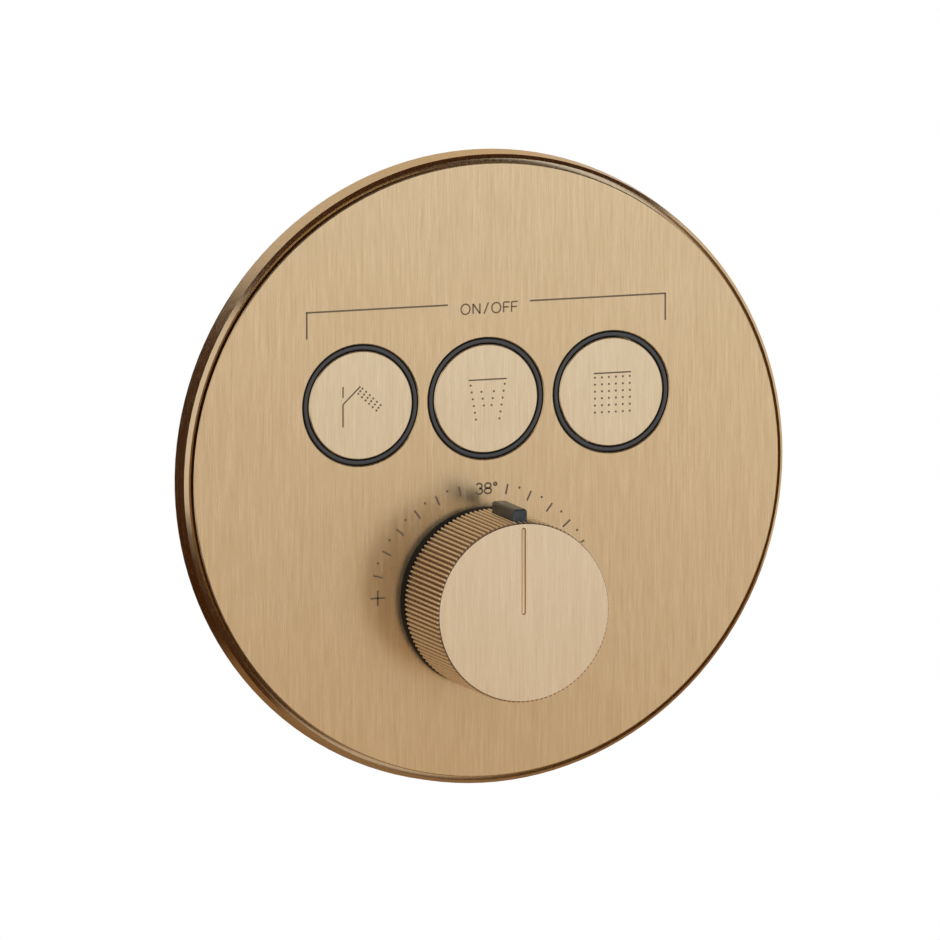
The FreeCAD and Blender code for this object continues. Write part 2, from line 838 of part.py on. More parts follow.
def thermo_spindle():
    """The splined spindle that the knob turns, with the thread that drives the regulator."""
    shaft = turned([
        (0, hub_rear), (journal_radius, hub_rear), (journal_radius, spindle_flange_front),
        (spindle_flange_radius, spindle_flange_front), (spindle_flange_radius, spindle_flange_back),
        (spindle_thread_radius, spindle_flange_back), (spindle_thread_radius, spindle_thread_end),
        (0, spindle_thread_end),
    ], 0, knob_z)
    spline = toothed(
        spline_count, spline_crest_radius, spline_crest_radius - spline_depth, spline_crest_share,
        spline_front, hub_rear, knob_z,
    )
    return shaft.fuse(spline)


def thermo_housing():
    """The thermostatic cartridge's housing, with hot and cold channels, windows and the spindle's neck."""
    journal = journal_radius + running_fit
    flange = thermo_mouth_radius - cartridge_flange_play
    housing = turned([
        (journal, neck_front), (neck_front_outer, neck_front), (neck_front_outer, stop_ring_back),
        (neck_outer, stop_ring_back), (neck_outer, cartridge_front), (flange, cartridge_front),
        (flange, mouth_floor), (thermo_radius, mouth_floor),
        (thermo_radius, hot_channel_front), (channel_radius, hot_channel_front),
        (channel_radius, hot_channel_back), (thermo_radius, hot_channel_back),
        (thermo_radius, cold_channel_front), (channel_radius, cold_channel_front),
        (channel_radius, cold_channel_back), (thermo_radius, cold_channel_back),
        (thermo_radius, seat_y), (thermo_rear_bore, seat_y), (thermo_rear_bore, thermo_rear_face),
        (thermo_bore, thermo_rear_face), (thermo_bore, cartridge_front), (journal, cartridge_front),
    ], 0, knob_z)
    half_key = key_width / 2 + key_play
    key_end = regulator_back + regulator_travel + key_play
    reach = key_reach + key_play
    cuts = [block((-reach, reach), (cartridge_front, key_end), (knob_z - half_key, knob_z + half_key))]
    cuts += [seal_groove(thermo_radius, y, 0, knob_z) for y in thermo_oring_places]
    for channel in (hot_channel, cold_channel):
        channel_y = sum(channel) / 2
        for i in range(window_count):
            hole = along_z(window_radius, knob_z, knob_z + thermo_radius, 0, channel_y)
            turn = 360 / window_count * (i + 0.5)
            hole.rotate(FreeCAD.Vector(0, 0, knob_z), FreeCAD.Vector(0, 1, 0), turn)
            cuts.append(hole)
    return without(housing, cuts)


def thermo_seals():
    """The ring seals of the thermostatic cartridge."""
    radius = seal_radius(thermo_pocket_radius)
    return Part.Compound([ring_seal(radius, y, 0, knob_z) for y in thermo_oring_places])


def stop_ring():
    """The ring on the cartridge's neck whose lug ends the knob's turn."""
    ring = turned([
        (stop_ring_inner, stop_ring_front), (stop_ring_outer, stop_ring_front),
        (stop_ring_outer, stop_ring_back), (stop_ring_inner, stop_ring_back),
    ], 0, knob_z)
    half_angle = 180 - knob_turn - hub_lug_half_angle - stop_slack
    bite = (stop_ring_inner + stop_ring_outer) / 2
    lug = sector(bite, hub_lug_outer, stop_ring_front, stop_ring_back, 270, half_angle, knob_z)
    nose = sector(hub_lug_inner, hub_lug_outer, stop_lug_front, stop_ring_front, 270, half_angle, knob_z)
    return joined(ring, [lug, nose])


def regulating_nut():
    """The keyed nut that the spindle's thread moves in and out."""
    nut = turned([
        (regulator_bore, regulator_front), (regulator_radius, regulator_front),
        (regulator_radius, regulator_back), (0, regulator_back), (0, regulator_floor),
        (regulator_bore, regulator_floor),
    ], 0, knob_z)
    half_key = key_width / 2
    key_height = (knob_z - half_key, knob_z + half_key)
    keys = block((-key_reach, key_reach), (regulator_front, regulator_back), key_height)
    core_radius = (regulator_bore + regulator_radius) / 2
    core = along_y(core_radius, regulator_front - overrun, regulator_back + overrun, 0, knob_z)
    return nut.fuse(keys.cut(core))


def wax_element():
    """The wax capsule that grows with heat and moves the shuttle."""
    return turned([
        (0, regulator_back), (wax_pin_radius, regulator_back), (wax_pin_radius, wax_flange_front),
        (wax_flange_radius, wax_flange_front), (wax_flange_radius, wax_flange_back),
        (wax_bulb_radius, wax_flange_back), (wax_bulb_radius, wax_end), (0, wax_end),
    ], 0, knob_z)


def mixing_shuttle():
    """The sleeve between the hot and cold windows, on spokes round the wax element."""
    hub_inner = wax_bulb_radius + shuttle_hub_play
    hub_outer = hub_inner + shuttle_hub_wall
    sleeve_inner = shuttle_radius - shuttle_wall
    hub = turned([
        (hub_inner, wax_flange_back), (hub_outer, wax_flange_back), (hub_outer, shuttle_hub_back),
        (hub_inner, shuttle_hub_back),
    ], 0, knob_z)
    sleeve = turned([
        (sleeve_inner, shuttle_front), (shuttle_radius, shuttle_front), (shuttle_radius, shuttle_back),
        (sleeve_inner, shuttle_back),
    ], 0, knob_z)
    half = shuttle_spoke_width / 2
    spoke_reach = ((hub_inner + hub_outer) / 2, (sleeve_inner + shuttle_radius) / 2)
    spokes = []
    for i in range(shuttle_spoke_count):
        spoke = block(spoke_reach, (wax_flange_back, shuttle_hub_back), (knob_z - half, knob_z + half))
        spoke.rotate(FreeCAD.Vector(0, 0, knob_z), FreeCAD.Vector(0, 1, 0), 360 / shuttle_spoke_count * i)
        spokes.append(spoke)
    return joined(hub, spokes + [sleeve])


def return_spring():
    """The spring that pushes the shuttle back against the wax element."""
    spring = coil_spring(
        "return_spring", return_spring_radius, return_spring_wire, return_spring_turns,
        thermo_rear_face - shuttle_hub_back,
    )
    return lay_along_y(spring, shuttle_hub_back, 0, knob_z)


def barrel(radius, x, z, seam_angle):
    """The outside of a cartridge pocket, with chamfered ends and its seam clear of the branches."""
    inner = radius - barrel_chamfer
    solid = turned([
        (0, body_front), (inner, body_front), (radius, body_front + barrel_chamfer),
        (radius, body_back - barrel_chamfer), (inner, body_back), (0, body_back),
    ], x, z)
    solid.rotate(FreeCAD.Vector(x, 0, z), FreeCAD.Vector(0, -1, 0), seam_angle)
    return solid


def valve_body():
    """The cast body: three shut-off barrels on a gallery, the thermostatic barrel, inlets and outlets."""
    ends = (button_places[0], button_places[-1])
    half_rib = rib_height / 2
    outside = [barrel(barrel_radius, x, button_rise, barrel_seam_angle) for x in button_places]
    outside += [along_z(neck_radius, button_rise, outlet_top, x, outlet_y) for x in button_places]
    outside += [along_y(lug_radius, lug_face, lug_face + lug_length, x, z) for x, z in post_places]
    outside += [
        along_x(gallery_bore + gallery_wall, *ends, gallery_y, button_rise),
        block(ends, (mouth_floor, gallery_y), (button_rise - half_rib, button_rise + half_rib)),
        along_z(gallery_bore + duct_wall, knob_z, button_rise, 0, gallery_y),
        along_x(neck_radius, -arm_reach, arm_reach, arm_y, knob_z),
    ]
    body = joined(barrel(thermo_barrel_radius, 0, knob_z, thermo_seam_angle), outside)

    cuts = []
    for x in button_places:
        cuts += [
            along_y(mouth_radius, body_front - overrun, mouth_floor, x, button_rise),
            along_y(pocket_radius, body_front, seat_y, x, button_rise),
            along_y(valve_chamber_radius, body_front, chamber_end, x, button_rise),
            along_z(outlet_bore, button_rise, outlet_top, x, outlet_y),
            along_z(port_radius, outlet_port_floor, outlet_top + overrun, x, outlet_y),
        ]
    cuts += [
        along_y(thermo_mouth_radius, body_front - overrun, mouth_floor, 0, knob_z),
        along_y(thermo_pocket_radius, body_front, seat_y, 0, knob_z),
        along_y(thermo_chamber_radius, body_front, chamber_end, 0, knob_z),
        along_x(gallery_bore, *ends, gallery_y, button_rise),
        along_z(gallery_bore, knob_z, button_rise, 0, gallery_y),
    ]
    half_slot = inlet_slot_height / 2
    for side, channel in ((-1, hot_channel), (1, cold_channel)):
        for radius, start, end in (
            (arm_bore, arm_floor, arm_reach), (port_radius, arm_port_floor, arm_reach + overrun),
        ):
            cuts.append(along_x(radius, *sorted((side * start, side * end)), arm_y, knob_z))
        slot_x = sorted((side * thermo_chamber_radius, side * (arm_floor + overrun)))
        cuts.append(block(slot_x, channel, (knob_z - half_slot, knob_z + half_slot)))
    lug_hole_end = carrier_screw_end + lug_hole_end_play
    lug_hole = carrier_screw_radius + lug_hole_play
    cuts += [along_y(lug_hole, lug_face - overrun, lug_hole_end, x, z) for x, z in post_places]
    bite = (body_back - bracket_screw_bite, body_back + overrun)
    cuts += [along_y(bracket_screw_hole, *bite, x, z) for x, z in bracket_screw_places()]
    return without(body, cuts).removeSplitter()


def bracket_screw_places():
    """Where the bracket's screws go into the wall of the thermostatic barrel."""
    step = 360 / bracket_screw_count
    return [around(bracket_screw_circle, bracket_screw_angle + step * i) for i in range(bracket_screw_count)]


def port_union():
    """A threaded port that screws into the body, from the end of its spigot up +Z to its mouth."""
    spigot_end = port_depth + washer_thickness
    mouth = spigot_end + union_hex_length
    points = [FreeCAD.Vector(u, v, spigot_end) for u, v in hexagon_corners(union_across_flats)]
    outline = Part.Face(Part.makePolygon(points + points[:1]))
    head = outline.extrude(FreeCAD.Vector(0, 0, union_hex_length))
    solid = head.fuse(along_z(port_radius - union_spigot_play, 0, spigot_end, 0, 0))
    cuts = [
        along_z(union_bore, mouth - union_bore_length, mouth + overrun, 0, 0),
        along_z(union_throat, -overrun, mouth, 0, 0),
    ]
    return without(solid, cuts).removeSplitter()


def port_washer():
    """The flat washer between a union's hexagon and the body, where the union's spigot is at the origin."""
    inner = port_radius + washer_inner_play
    ring = along_z(neck_radius, port_depth, port_depth + washer_thickness, 0, 0)
    return ring.cut(along_z(inner, port_depth - overrun, port_depth + washer_thickness + overrun, 0, 0))


def check_valve():
    """The one-way valve in an inlet: a ring, a spider and a domed poppet, from its seat up +Z."""
    outer = arm_bore - check_play
    inner = outer - check_wall
    ring = along_z(outer, 0, check_length, 0, 0).cut(along_z(inner, -overrun, check_length + overrun, 0, 0))
    half = check_spoke_width / 2
    spider_top = check_spoke_inset + check_spoke_thickness
    middle = (inner + outer) / 2
    across = (-middle, middle)
    width = (-half, half)
    height = (check_spoke_inset, spider_top)
    spokes = [block(across, width, height), block(width, across, height)]
    dome = Part.makeSphere(check_dome_radius, FreeCAD.Vector(0, 0, spider_top))
    dome = dome.common(along_z(check_dome_radius + overrun, check_spoke_inset, check_length, 0, 0))
    return joined(ring, spokes + [dome])


def strainer():
    """The sieve cup in an inlet, from its floor up +Z to the rim that the union clamps."""
    rim = arm_bore - check_play
    cup = rim - strainer_cup_inset
    inner = cup - strainer_wall
    body = along_z(cup, 0, strainer_length, 0, 0)
    body = body.fuse(along_z(rim, strainer_length - strainer_rim_thickness, strainer_length, 0, 0))
    half = strainer_slot_width / 2
    reach = rim + overrun
    slot_bottom = strainer_wall + half
    cuts = [along_z(inner, strainer_wall, strainer_length + overrun, 0, 0)]
    for i in range(strainer_slot_count):
        slot = block((-reach, reach), (-half, half), (slot_bottom, slot_bottom + strainer_slot_length))
        slot.rotate(FreeCAD.Vector(0, 0, 0), FreeCAD.Vector(0, 0, 1), 180 / strainer_slot_count * i)
        cuts.append(slot)
    return without(body, cuts).removeSplitter()


def on_inlet(shape, side, reach):
    """Moves a shape that climbs +Z onto an inlet arm, so that it runs outwards from this reach."""
    shape.rotate(FreeCAD.Vector(0, 0, 0), FreeCAD.Vector(0, 1, 0), 90 * side)
    shape.translate(FreeCAD.Vector(side * reach, arm_y, knob_z))
    return shape


def on_outlet(shape, x):
    """Moves a shape that climbs +Z onto an outlet."""
    shape.translate(FreeCAD.Vector(x, outlet_y, outlet_port_floor))
    return shape


def port_washers():
    """The washers of all five ports."""
    washers = [on_inlet(port_washer(), side, arm_port_floor) for side in (-1, 1)]
    return Part.Compound(washers + [on_outlet(port_washer(), x) for x in button_places])


def wall_bracket():
    """The pressed plate that fixes the valve body in the wall."""
    height = (knob_z - bracket_half_height, knob_z + bracket_half_height)
    plate = block((-bracket_half_width, bracket_half_width), (body_back, bracket_back), height)
    corners = [e for e in plate.Edges if e.BoundBox.YLength > bracket_thickness / 2]
    plate = plate.makeFillet(bracket_corner, corners)
    across = (body_back - overrun, bracket_back + overrun)
    hole_x = bracket_half_width - bracket_hole_edge
    hole_rise = bracket_half_height - bracket_hole_edge
    cuts = [
        along_y(bracket_hole_radius, *across, x, knob_z + rise)
        for x in (-hole_x, hole_x) for rise in (-hole_rise, hole_rise)
    ]
    cuts.append(along_y(bracket_window_radius, *across, 0, knob_z))
    countersink = [
        (0, body_back - overrun), (bracket_screw_hole, body_back - overrun),
        (bracket_screw_hole, bracket_screw_neck), (bracket_screw_head + bracket_screw_play, bracket_back),
        (bracket_screw_head + bracket_screw_play, bracket_back + overrun), (0, bracket_back + overrun),
    ]
    cuts += [turned(countersink, x, z) for x, z in bracket_screw_places()]
    return without(plate, cuts)


def bracket_screws():
    """Countersunk screws that hold the bracket to the thermostatic barrel, flush with its back."""
    tip = body_back - bracket_screw_bite
    profile = [
        (0, tip), (bracket_screw_radius, tip), (bracket_screw_radius, bracket_screw_neck),
        (bracket_screw_head, bracket_back), (0, bracket_back),
    ]
    return Part.Compound([turned(profile, x, z) for x, z in bracket_screw_places()])


parts = {
    "rim_ring": rim_ring(),
    "face_plate": face_plate(),
    "wall_gasket": wall_gasket(),
    "snap_studs": snap_studs(),
    "plate_carrier": plate_carrier(),
    "carrier_screws": carrier_screws(),
    "knob_shell": knob_shell(),
    "knob_hub": knob_hub(),
    "knob_grub_screw": knob_grub_screw(),
    "knob_base_ring": knob_base_ring(),
    "safety_button": safety_button(),
    "safety_spring": safety_spring(),
    "valve_body": valve_body(),
    "cartridge_seals": cartridge_seals(),
    "thermo_spindle": thermo_spindle(),
    "thermo_housing": thermo_housing(),
    "thermo_nut": retaining_nut(
        thermo_nut_across_flats, thermo_nut_flange_height, thermo_mouth_radius,
        neck_outer + thermo_nut_bore_play, 0, knob_z,
    ),
    "thermo_seals": thermo_seals(),
    "stop_ring": stop_ring(),
    "regulating_nut": regulating_nut(),
    "wax_element": wax_element(),
    "mixing_shuttle": mixing_shuttle(),
    "return_spring": return_spring(),
    "port_washers": port_washers(),
    "wall_bracket": wall_bracket(),
    "bracket_screws": bracket_screws(),
}
for side, x in zip(button_sides, button_places):
    parts["button_cap_" + side] = button_cap(x)
    parts["button_bezel_" + side] = button_bezel(x)
    parts["push_rod_" + side] = push_rod(x)
    parts["valve_poppet_" + side] = valve_poppet(x)
    parts["poppet_spring_" + side] = poppet_spring(side, x)
    parts["valve_cartridge_" + side] = valve_cartridge(x)
    parts["cartridge_nut_" + side] = retaining_nut(
        nut_across_flats, nut_flange_height, mouth_radius, nut_bore, x, button_rise,
    )
    parts["outlet_union_" + side] = on_outlet(port_union(), x)
for name, side in (("hot", -1), ("cold", 1)):
    parts["inlet_union_" + name] = on_inlet(port_union(), side, arm_port_floor)
    parts["check_valve_" + name] = on_inlet(check_valve(), side, arm_floor)
    parts["strainer_" + name] = on_inlet(strainer(), side, strainer_reach)

os.makedirs("parts", exist_ok=True)
for name, shape in parts.items():
    state = "valid" if shape.isValid() else "NOT VALID"
    print(name, len(shape.Solids), "solids", round(shape.Volume, 1), "mm3", state)
    shape.exportStep("parts/" + name + ".step")
print(len(parts), "nodes")
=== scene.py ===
# %% [markdown]
# # A concealed shower mixer in brushed bronze
# The real object is a round plate on a bathroom wall, with three flush push buttons, a knurled temperature
# knob, and a brass valve body hidden in the wall behind it. The solids come from the CAD model, loaded here
# as a fixed frame in metres, with y running into the wall. This lesson adds what a CAD model lacks: the grip
# of the knob, the printed signs, the wound springs, the pipe threads, the finishes and the light.

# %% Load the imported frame
import json
import math

import bmesh
import bpy
from mathutils import Matrix, Vector


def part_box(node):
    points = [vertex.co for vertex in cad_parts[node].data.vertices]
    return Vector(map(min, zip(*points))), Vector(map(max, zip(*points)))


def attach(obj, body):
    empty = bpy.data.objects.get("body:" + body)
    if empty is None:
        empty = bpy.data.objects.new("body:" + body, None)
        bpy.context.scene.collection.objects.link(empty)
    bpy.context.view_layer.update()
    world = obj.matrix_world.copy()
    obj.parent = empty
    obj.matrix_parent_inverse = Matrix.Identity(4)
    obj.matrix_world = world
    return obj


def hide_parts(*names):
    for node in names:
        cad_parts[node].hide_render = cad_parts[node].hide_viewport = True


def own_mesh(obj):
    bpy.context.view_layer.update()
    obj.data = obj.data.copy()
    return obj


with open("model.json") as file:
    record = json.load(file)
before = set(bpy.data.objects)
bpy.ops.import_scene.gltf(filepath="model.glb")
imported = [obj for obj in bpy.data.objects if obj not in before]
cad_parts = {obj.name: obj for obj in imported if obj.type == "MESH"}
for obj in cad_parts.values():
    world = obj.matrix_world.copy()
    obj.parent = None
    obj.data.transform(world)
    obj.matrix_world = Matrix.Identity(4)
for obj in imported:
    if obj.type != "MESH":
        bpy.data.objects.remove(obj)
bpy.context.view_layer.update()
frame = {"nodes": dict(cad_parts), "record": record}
mm = 0.001

# %% [markdown]
# ## The camera
# The picture was taken from the left and a little above, from so far away that parallel edges stay parallel.
# An orthographic camera is the plain way to say that. Its three axes are worked out from the two angles, and
# its centre is a small step away from the middle of the plate, as in the picture.

# %% Camera
view_left = math.radians(19.74)
view_above = math.radians(8.78)
picture_width = 264.3 * mm
picture_centre = (-1.63 * mm, -1.31 * mm)
camera_distance = 2.0

towards_camera = Vector((
    -math.sin(view_left) * math.cos(view_above),
    -math.cos(view_left) * math.cos(view_above),
    math.sin(view_above),
))
picture_right = Vector((math.cos(view_left), -math.sin(view_left), 0))
picture_up = towards_camera.cross(picture_right)

camera = bpy.data.objects.new("camera", bpy.data.cameras.new("camera"))
camera.data.type = "ORTHO"
camera.data.ortho_scale = picture_width
camera.matrix_world = Matrix((picture_right, picture_up, towards_camera)).transposed().to_4x4()
camera.location = (
    picture_right * picture_centre[0] + picture_up * picture_centre[1] + towards_camera * camera_distance
)
bpy.context.scene.collection.objects.link(camera)
bpy.context.scene.camera = camera
bpy.context.scene.view_settings.view_transform = "Standard"
print("camera at", [round(v, 3) for v in camera.location])

# %% [markdown]
# ## Helpers for nodes and colours
# Shader and geometry trees are built in the same way: make a node, set what it is, then fill or link its
# inputs. A few helpers keep every tree below short. Colours are written as the 0 to 255 values that a
# picture shows, and turned into the linear values that a shader needs.

# %% Node helper and colours
def add_node(tree, kind, inputs=None, **settings):
    """Makes a node; an input is filled with a value or linked to another node's output."""
    made = tree.nodes.new(kind)
    for name, value in settings.items():
        setattr(made, name, value)
    for key, value in (inputs or {}).items():
        socket = made.inputs[key]
        if isinstance(value, bpy.types.NodeSocket):
            tree.links.new(value, socket)
        else:
            socket.default_value = value
    return made


def maths(tree, operation, *values):
    """The output of a math node that works on values or on other outputs."""
    return add_node(tree, "ShaderNodeMath", dict(enumerate(values)), operation=operation).outputs[0]


def mixed(tree, share, first, second):
    """The output of a colour mix: the first colour at share 0, the second at 1."""
    return add_node(tree, "ShaderNodeMix", {0: share, 6: first, 7: second}, data_type="RGBA").outputs[2]


def vector_maths(tree, operation, *values):
    """The outputs of a vector math node."""
    return add_node(tree, "ShaderNodeVectorMath", dict(enumerate(values)), operation=operation).outputs


def here(tree):
    """The place on a piece, in the piece's own coordinates."""
    return add_node(tree, "ShaderNodeTexCoord").outputs["Object"]


def noise(tree, place, scale, **inputs):
    """The output of a noise texture."""
    return add_node(tree, "ShaderNodeTexNoise", {"Vector": place, "Scale": scale, **inputs}).outputs[0]


def linear(level):
    """The linear light of one picture level, by the sRGB rule."""
    share = level / top_level
    if share <= toe_share:
        return share / toe_slope
    return ((share + curve_offset) / (1 + curve_offset)) ** curve_power


def colour(red, green, blue):
    """An opaque colour in linear light, from its picture levels."""
    return (linear(red), linear(green), linear(blue), 1.0)


top_level = 255
toe_share, toe_slope = 0.04045, 12.92
curve_offset, curve_power = 0.055, 2.4
print("bronze in linear light", [round(v, 3) for v in colour(196, 166, 126)])

# %% [markdown]
# ## A studio for metal
# Metal shows what stands round it, so its light is mostly a matter of what it can see. The real plate is
# paler and cooler at the top than at the bottom, its rim is almost black on the left and its edges are dark
# above. A photographer gets that with a large panel in front that fades from top to bottom, and with brown
# flags above, below and behind on the left. The panel and the flags are hidden from the camera, and the
# flags show in reflections only, so they take no light from the rest. The world is plain white for the
# camera and for metal, and a little dimmer for everything else. The pale floor lies below the picture, and
# other views show it. The studio's sizes are in metres.

# %% Stage sheets
def link(name, mesh):
    """A new object of the scene with this mesh."""
    made = bpy.data.objects.new(name, mesh)
    bpy.context.scene.collection.objects.link(made)
    return made


def new_material(name):
    """A material with an empty tree and its output node."""
    material = bpy.data.materials.new(name)
    material.use_nodes = True
    material.node_tree.nodes.clear()
    return material, material.node_tree, material.node_tree.nodes.new("ShaderNodeOutputMaterial")


def stage_sheet(name, centre, half_width, half_height, material):
    """A flat sheet of the studio that the camera doesn't see, from its middle and its two half edges."""
    signs = [(-1, -1), (1, -1), (1, 1), (-1, 1)]
    points = [Vector(centre) + a * Vector(half_width) + b * Vector(half_height) for a, b in signs]
    mesh = bpy.data.meshes.new(name)
    mesh.from_pydata(points, [], [(0, 1, 2, 3)])
    mesh.materials.append(material)
    made = link(name, mesh)
    made.visible_camera = False
    return made

# %% Front panel
def panel_light():
    """Soft light that fades evenly from a cool top right to a warm bottom left."""
    material, tree, output = new_material("panel_light")
    height = vector_maths(tree, "DOT_PRODUCT", here(tree), panel_rise)["Value"]
    fade = add_node(tree, "ShaderNodeMapRange", {
        "Value": height, "From Min": panel_span[0], "From Max": panel_span[1],
    })
    shade = mixed(tree, fade.outputs[0], panel_low, panel_high)
    light = add_node(tree, "ShaderNodeEmission", {"Color": shade})
    tree.links.new(light.outputs[0], output.inputs["Surface"])
    return material


panel_rise = (0.17, 0, 1)
panel_span = (-0.258, 0.302)
panel_low = (0.685, 0.49, 0.272, 1.0)
panel_high = (1.65, 2.08, 2.66, 1.0)
panel_place = (0.12, -0.36, -0.02)
panel_half_width, panel_half_height = (0.30, 0.10, 0), (0, 0, 0.30)
stage_sheet("front_panel", panel_place, panel_half_width, panel_half_height, panel_light())
print("panel", panel_place)

# %% Flags
def flag_cloth(name, shade):
    """Matt cloth with a fine weave."""
    material, tree, output = new_material(name)
    weave = noise(tree, here(tree), weave_scale)
    tone = mixed(tree, weave, shade, [weave_share * level for level in shade])
    cloth = add_node(tree, "ShaderNodeBsdfDiffuse", {"Color": tone})
    tree.links.new(cloth.outputs[0], output.inputs["Surface"])
    return material


weave_scale, weave_share = 400.0, 0.8
dark_brown = flag_cloth("dark_brown_cloth", (0.10, 0.040, 0.013, 1.0))
mid_brown = flag_cloth("mid_brown_cloth", (0.56, 0.39, 0.24, 1.0))
# Each flag has a name, its middle, half its width, half its height and its cloth.
flags = (
    ("flag_above", (0.05, 0.02, 0.42), (0.60, 0, 0), (0, 0.38, 0), dark_brown),
    ("flag_behind_left", (-0.43, 0.45, -0.13), (0.37, 0, 0), (0, 0, 0.40), dark_brown),
    ("flag_below_left", (-0.42, 0.15, -0.20), (0.30, 0, 0), (0, 0.35, 0), dark_brown),
    ("flag_below", (0.19, 0.15, -0.20), (0.31, 0, 0), (0, 0.35, 0), mid_brown),
)
for flag in flags:
    sheet = stage_sheet(*flag)
    sheet.visible_diffuse = False
    sheet.visible_transmission = False
    sheet.visible_shadow = False
print("flags", [flag[0] for flag in flags])

# %% World and floor
sky_strength, white = 0.75, (1.0, 1.0, 1.0, 1.0)
world = bpy.data.worlds.new("studio")
bpy.context.scene.world = world
world.use_nodes = True
world.node_tree.nodes.clear()
rays = add_node(world.node_tree, "ShaderNodeLightPath").outputs
seen = maths(world.node_tree, "MAXIMUM", rays["Is Camera Ray"], rays["Is Glossy Ray"])
seen = maths(world.node_tree, "MAXIMUM", seen, rays["Is Transmission Ray"])
strength = add_node(world.node_tree, "ShaderNodeMapRange", {"Value": seen, "To Min": sky_strength})
sky = add_node(world.node_tree, "ShaderNodeBackground", {"Color": white, "Strength": strength.outputs[0]})
add_node(world.node_tree, "ShaderNodeOutputWorld", {"Surface": sky.outputs[0]})


def floor_paint():
    """Pale matt paint with a faint unevenness."""
    material, tree, output = new_material("floor_paint")
    cloud = noise(tree, here(tree), floor_clouds, Detail=soft_detail)
    matt = add_node(tree, "ShaderNodeBsdfDiffuse", {"Color": mixed(tree, cloud, *floor_tones)})
    tree.links.new(matt.outputs[0], output.inputs["Surface"])
    return material


soft_detail, floor_clouds = 2.0, 6.0
floor_tones = (colour(232, 231, 229), colour(238, 237, 235))
floor_drop = -0.33
floor_radius = 0.6
floor_sides = 128
floor_mesh = bpy.data.meshes.new("floor")
floor_angles = [2 * math.pi * i / floor_sides for i in range(floor_sides)]
floor_points = [(floor_radius * math.cos(a), floor_radius * math.sin(a), floor_drop) for a in floor_angles]
floor_mesh.from_pydata(floor_points, [], [tuple(range(floor_sides))])
floor_mesh.materials.append(floor_paint())
floor = link("floor", floor_mesh)
print("floor at", floor_drop)

# %% [markdown]
# ## Finishes
# Effects that several finishes share are shader groups. "Brushed lines" is noise stretched along z, as a
# belt leaves fine upright scratches. "Moulded grain" is the fine pebble of a spark-eroded mould. "Cast skin"
# is the soft, uneven surface of a sand casting. Each puts out a fine and a broad mask, and the material sets
# how much of them shows. All read Object coordinates, so a pattern stays on its piece when it moves.

# %% Shader groups
def new_group(name, inputs, outputs):
    """A shader group with float inputs and outputs, what it is given, and its end node."""
    group = bpy.data.node_groups.new(name, "ShaderNodeTree")
    for label, value in inputs.items():
        group.interface.new_socket(label, in_out="INPUT", socket_type="NodeSocketFloat").default_value = value
    for label in outputs:
        group.interface.new_socket(label, in_out="OUTPUT", socket_type="NodeSocketFloat")
    return group, group.nodes.new("NodeGroupInput").outputs, group.nodes.new("NodeGroupOutput")


def brushed_lines_group():
    """Fine upright scratches, with broad soft bands between them."""
    group, given, end = new_group("brushed_lines", {
        "Lines per metre": 2600.0, "Length share": 0.035, "Band share": 0.4,
    }, ("Lines", "Bands"))
    across = given["Lines per metre"]
    along = maths(group, "MULTIPLY", across, given["Length share"])
    scale = add_node(group, "ShaderNodeCombineXYZ", {0: across, 1: across, 2: along})
    fine_place = vector_maths(group, "MULTIPLY", here(group), scale.outputs[0])[0]
    fine = noise(group, fine_place, 1.0, Detail=fine_detail, Roughness=fine_roughness)
    band_place = add_node(group, "ShaderNodeVectorMath", {
        0: fine_place, "Scale": given["Band share"],
    }, operation="SCALE")
    bands = noise(group, band_place.outputs[0], 1.0, Detail=soft_detail)
    group.links.new(fine, end.inputs["Lines"])
    group.links.new(bands, end.inputs["Bands"])
    return group


def pebble_group(name, grain, detail):
    """An even pebble, and broad soft patches."""
    group, given, end = new_group(name, {
        "Grains per metre": grain, "Patch share": 0.05,
    }, ("Grain", "Patches"))
    place = here(group)
    pebble = noise(group, place, given["Grains per metre"], Detail=detail)
    patch_scale = maths(group, "MULTIPLY", given["Grains per metre"], given["Patch share"])
    patches = noise(group, place, patch_scale, Detail=soft_detail)
    group.links.new(pebble, end.inputs["Grain"])
    group.links.new(patches, end.inputs["Patches"])
    return group


fine_detail, fine_roughness = 4.0, 0.75
brushed_lines = brushed_lines_group()
moulded_grain = pebble_group("moulded_grain", grain=3000.0, detail=soft_detail)
cast_skin = pebble_group("cast_skin", grain=700.0, detail=fine_detail)
print("shader groups", [g.name for g in bpy.data.node_groups])

# %% [markdown]
# A finish is a Principled shader with two tones, mixed by its group's mask, a span of roughness, and a low
# bump. One function makes them all; the numbers that make bronze differ from rubber are given to it by name.

# %% Finish function
def ranged(tree, mask, low, high):
    """A mask stretched from low to high."""
    return add_node(tree, "ShaderNodeMapRange", {
        "Value": mask, "From Min": mask_low, "From Max": mask_high, "To Min": low, "To Max": high,
    }).outputs[0]


def walls_for_painted_shade(tree):
    """A mask that is 1 on walls that run into the wall and 0 on faces that look at the viewer. Painted
    shade goes on these walls, in gaps and holes.
    """
    normal = add_node(tree, "ShaderNodeNewGeometry")
    local = add_node(tree, "ShaderNodeVectorTransform", {
        0: normal.outputs["Normal"],
    }, vector_type="NORMAL", convert_from="WORLD", convert_to="OBJECT")
    parts = add_node(tree, "ShaderNodeSeparateXYZ", {0: local.outputs[0]})
    return maths(tree, "LESS_THAN", maths(tree, "ABSOLUTE", parts.outputs["Y"]), wall_tilt)


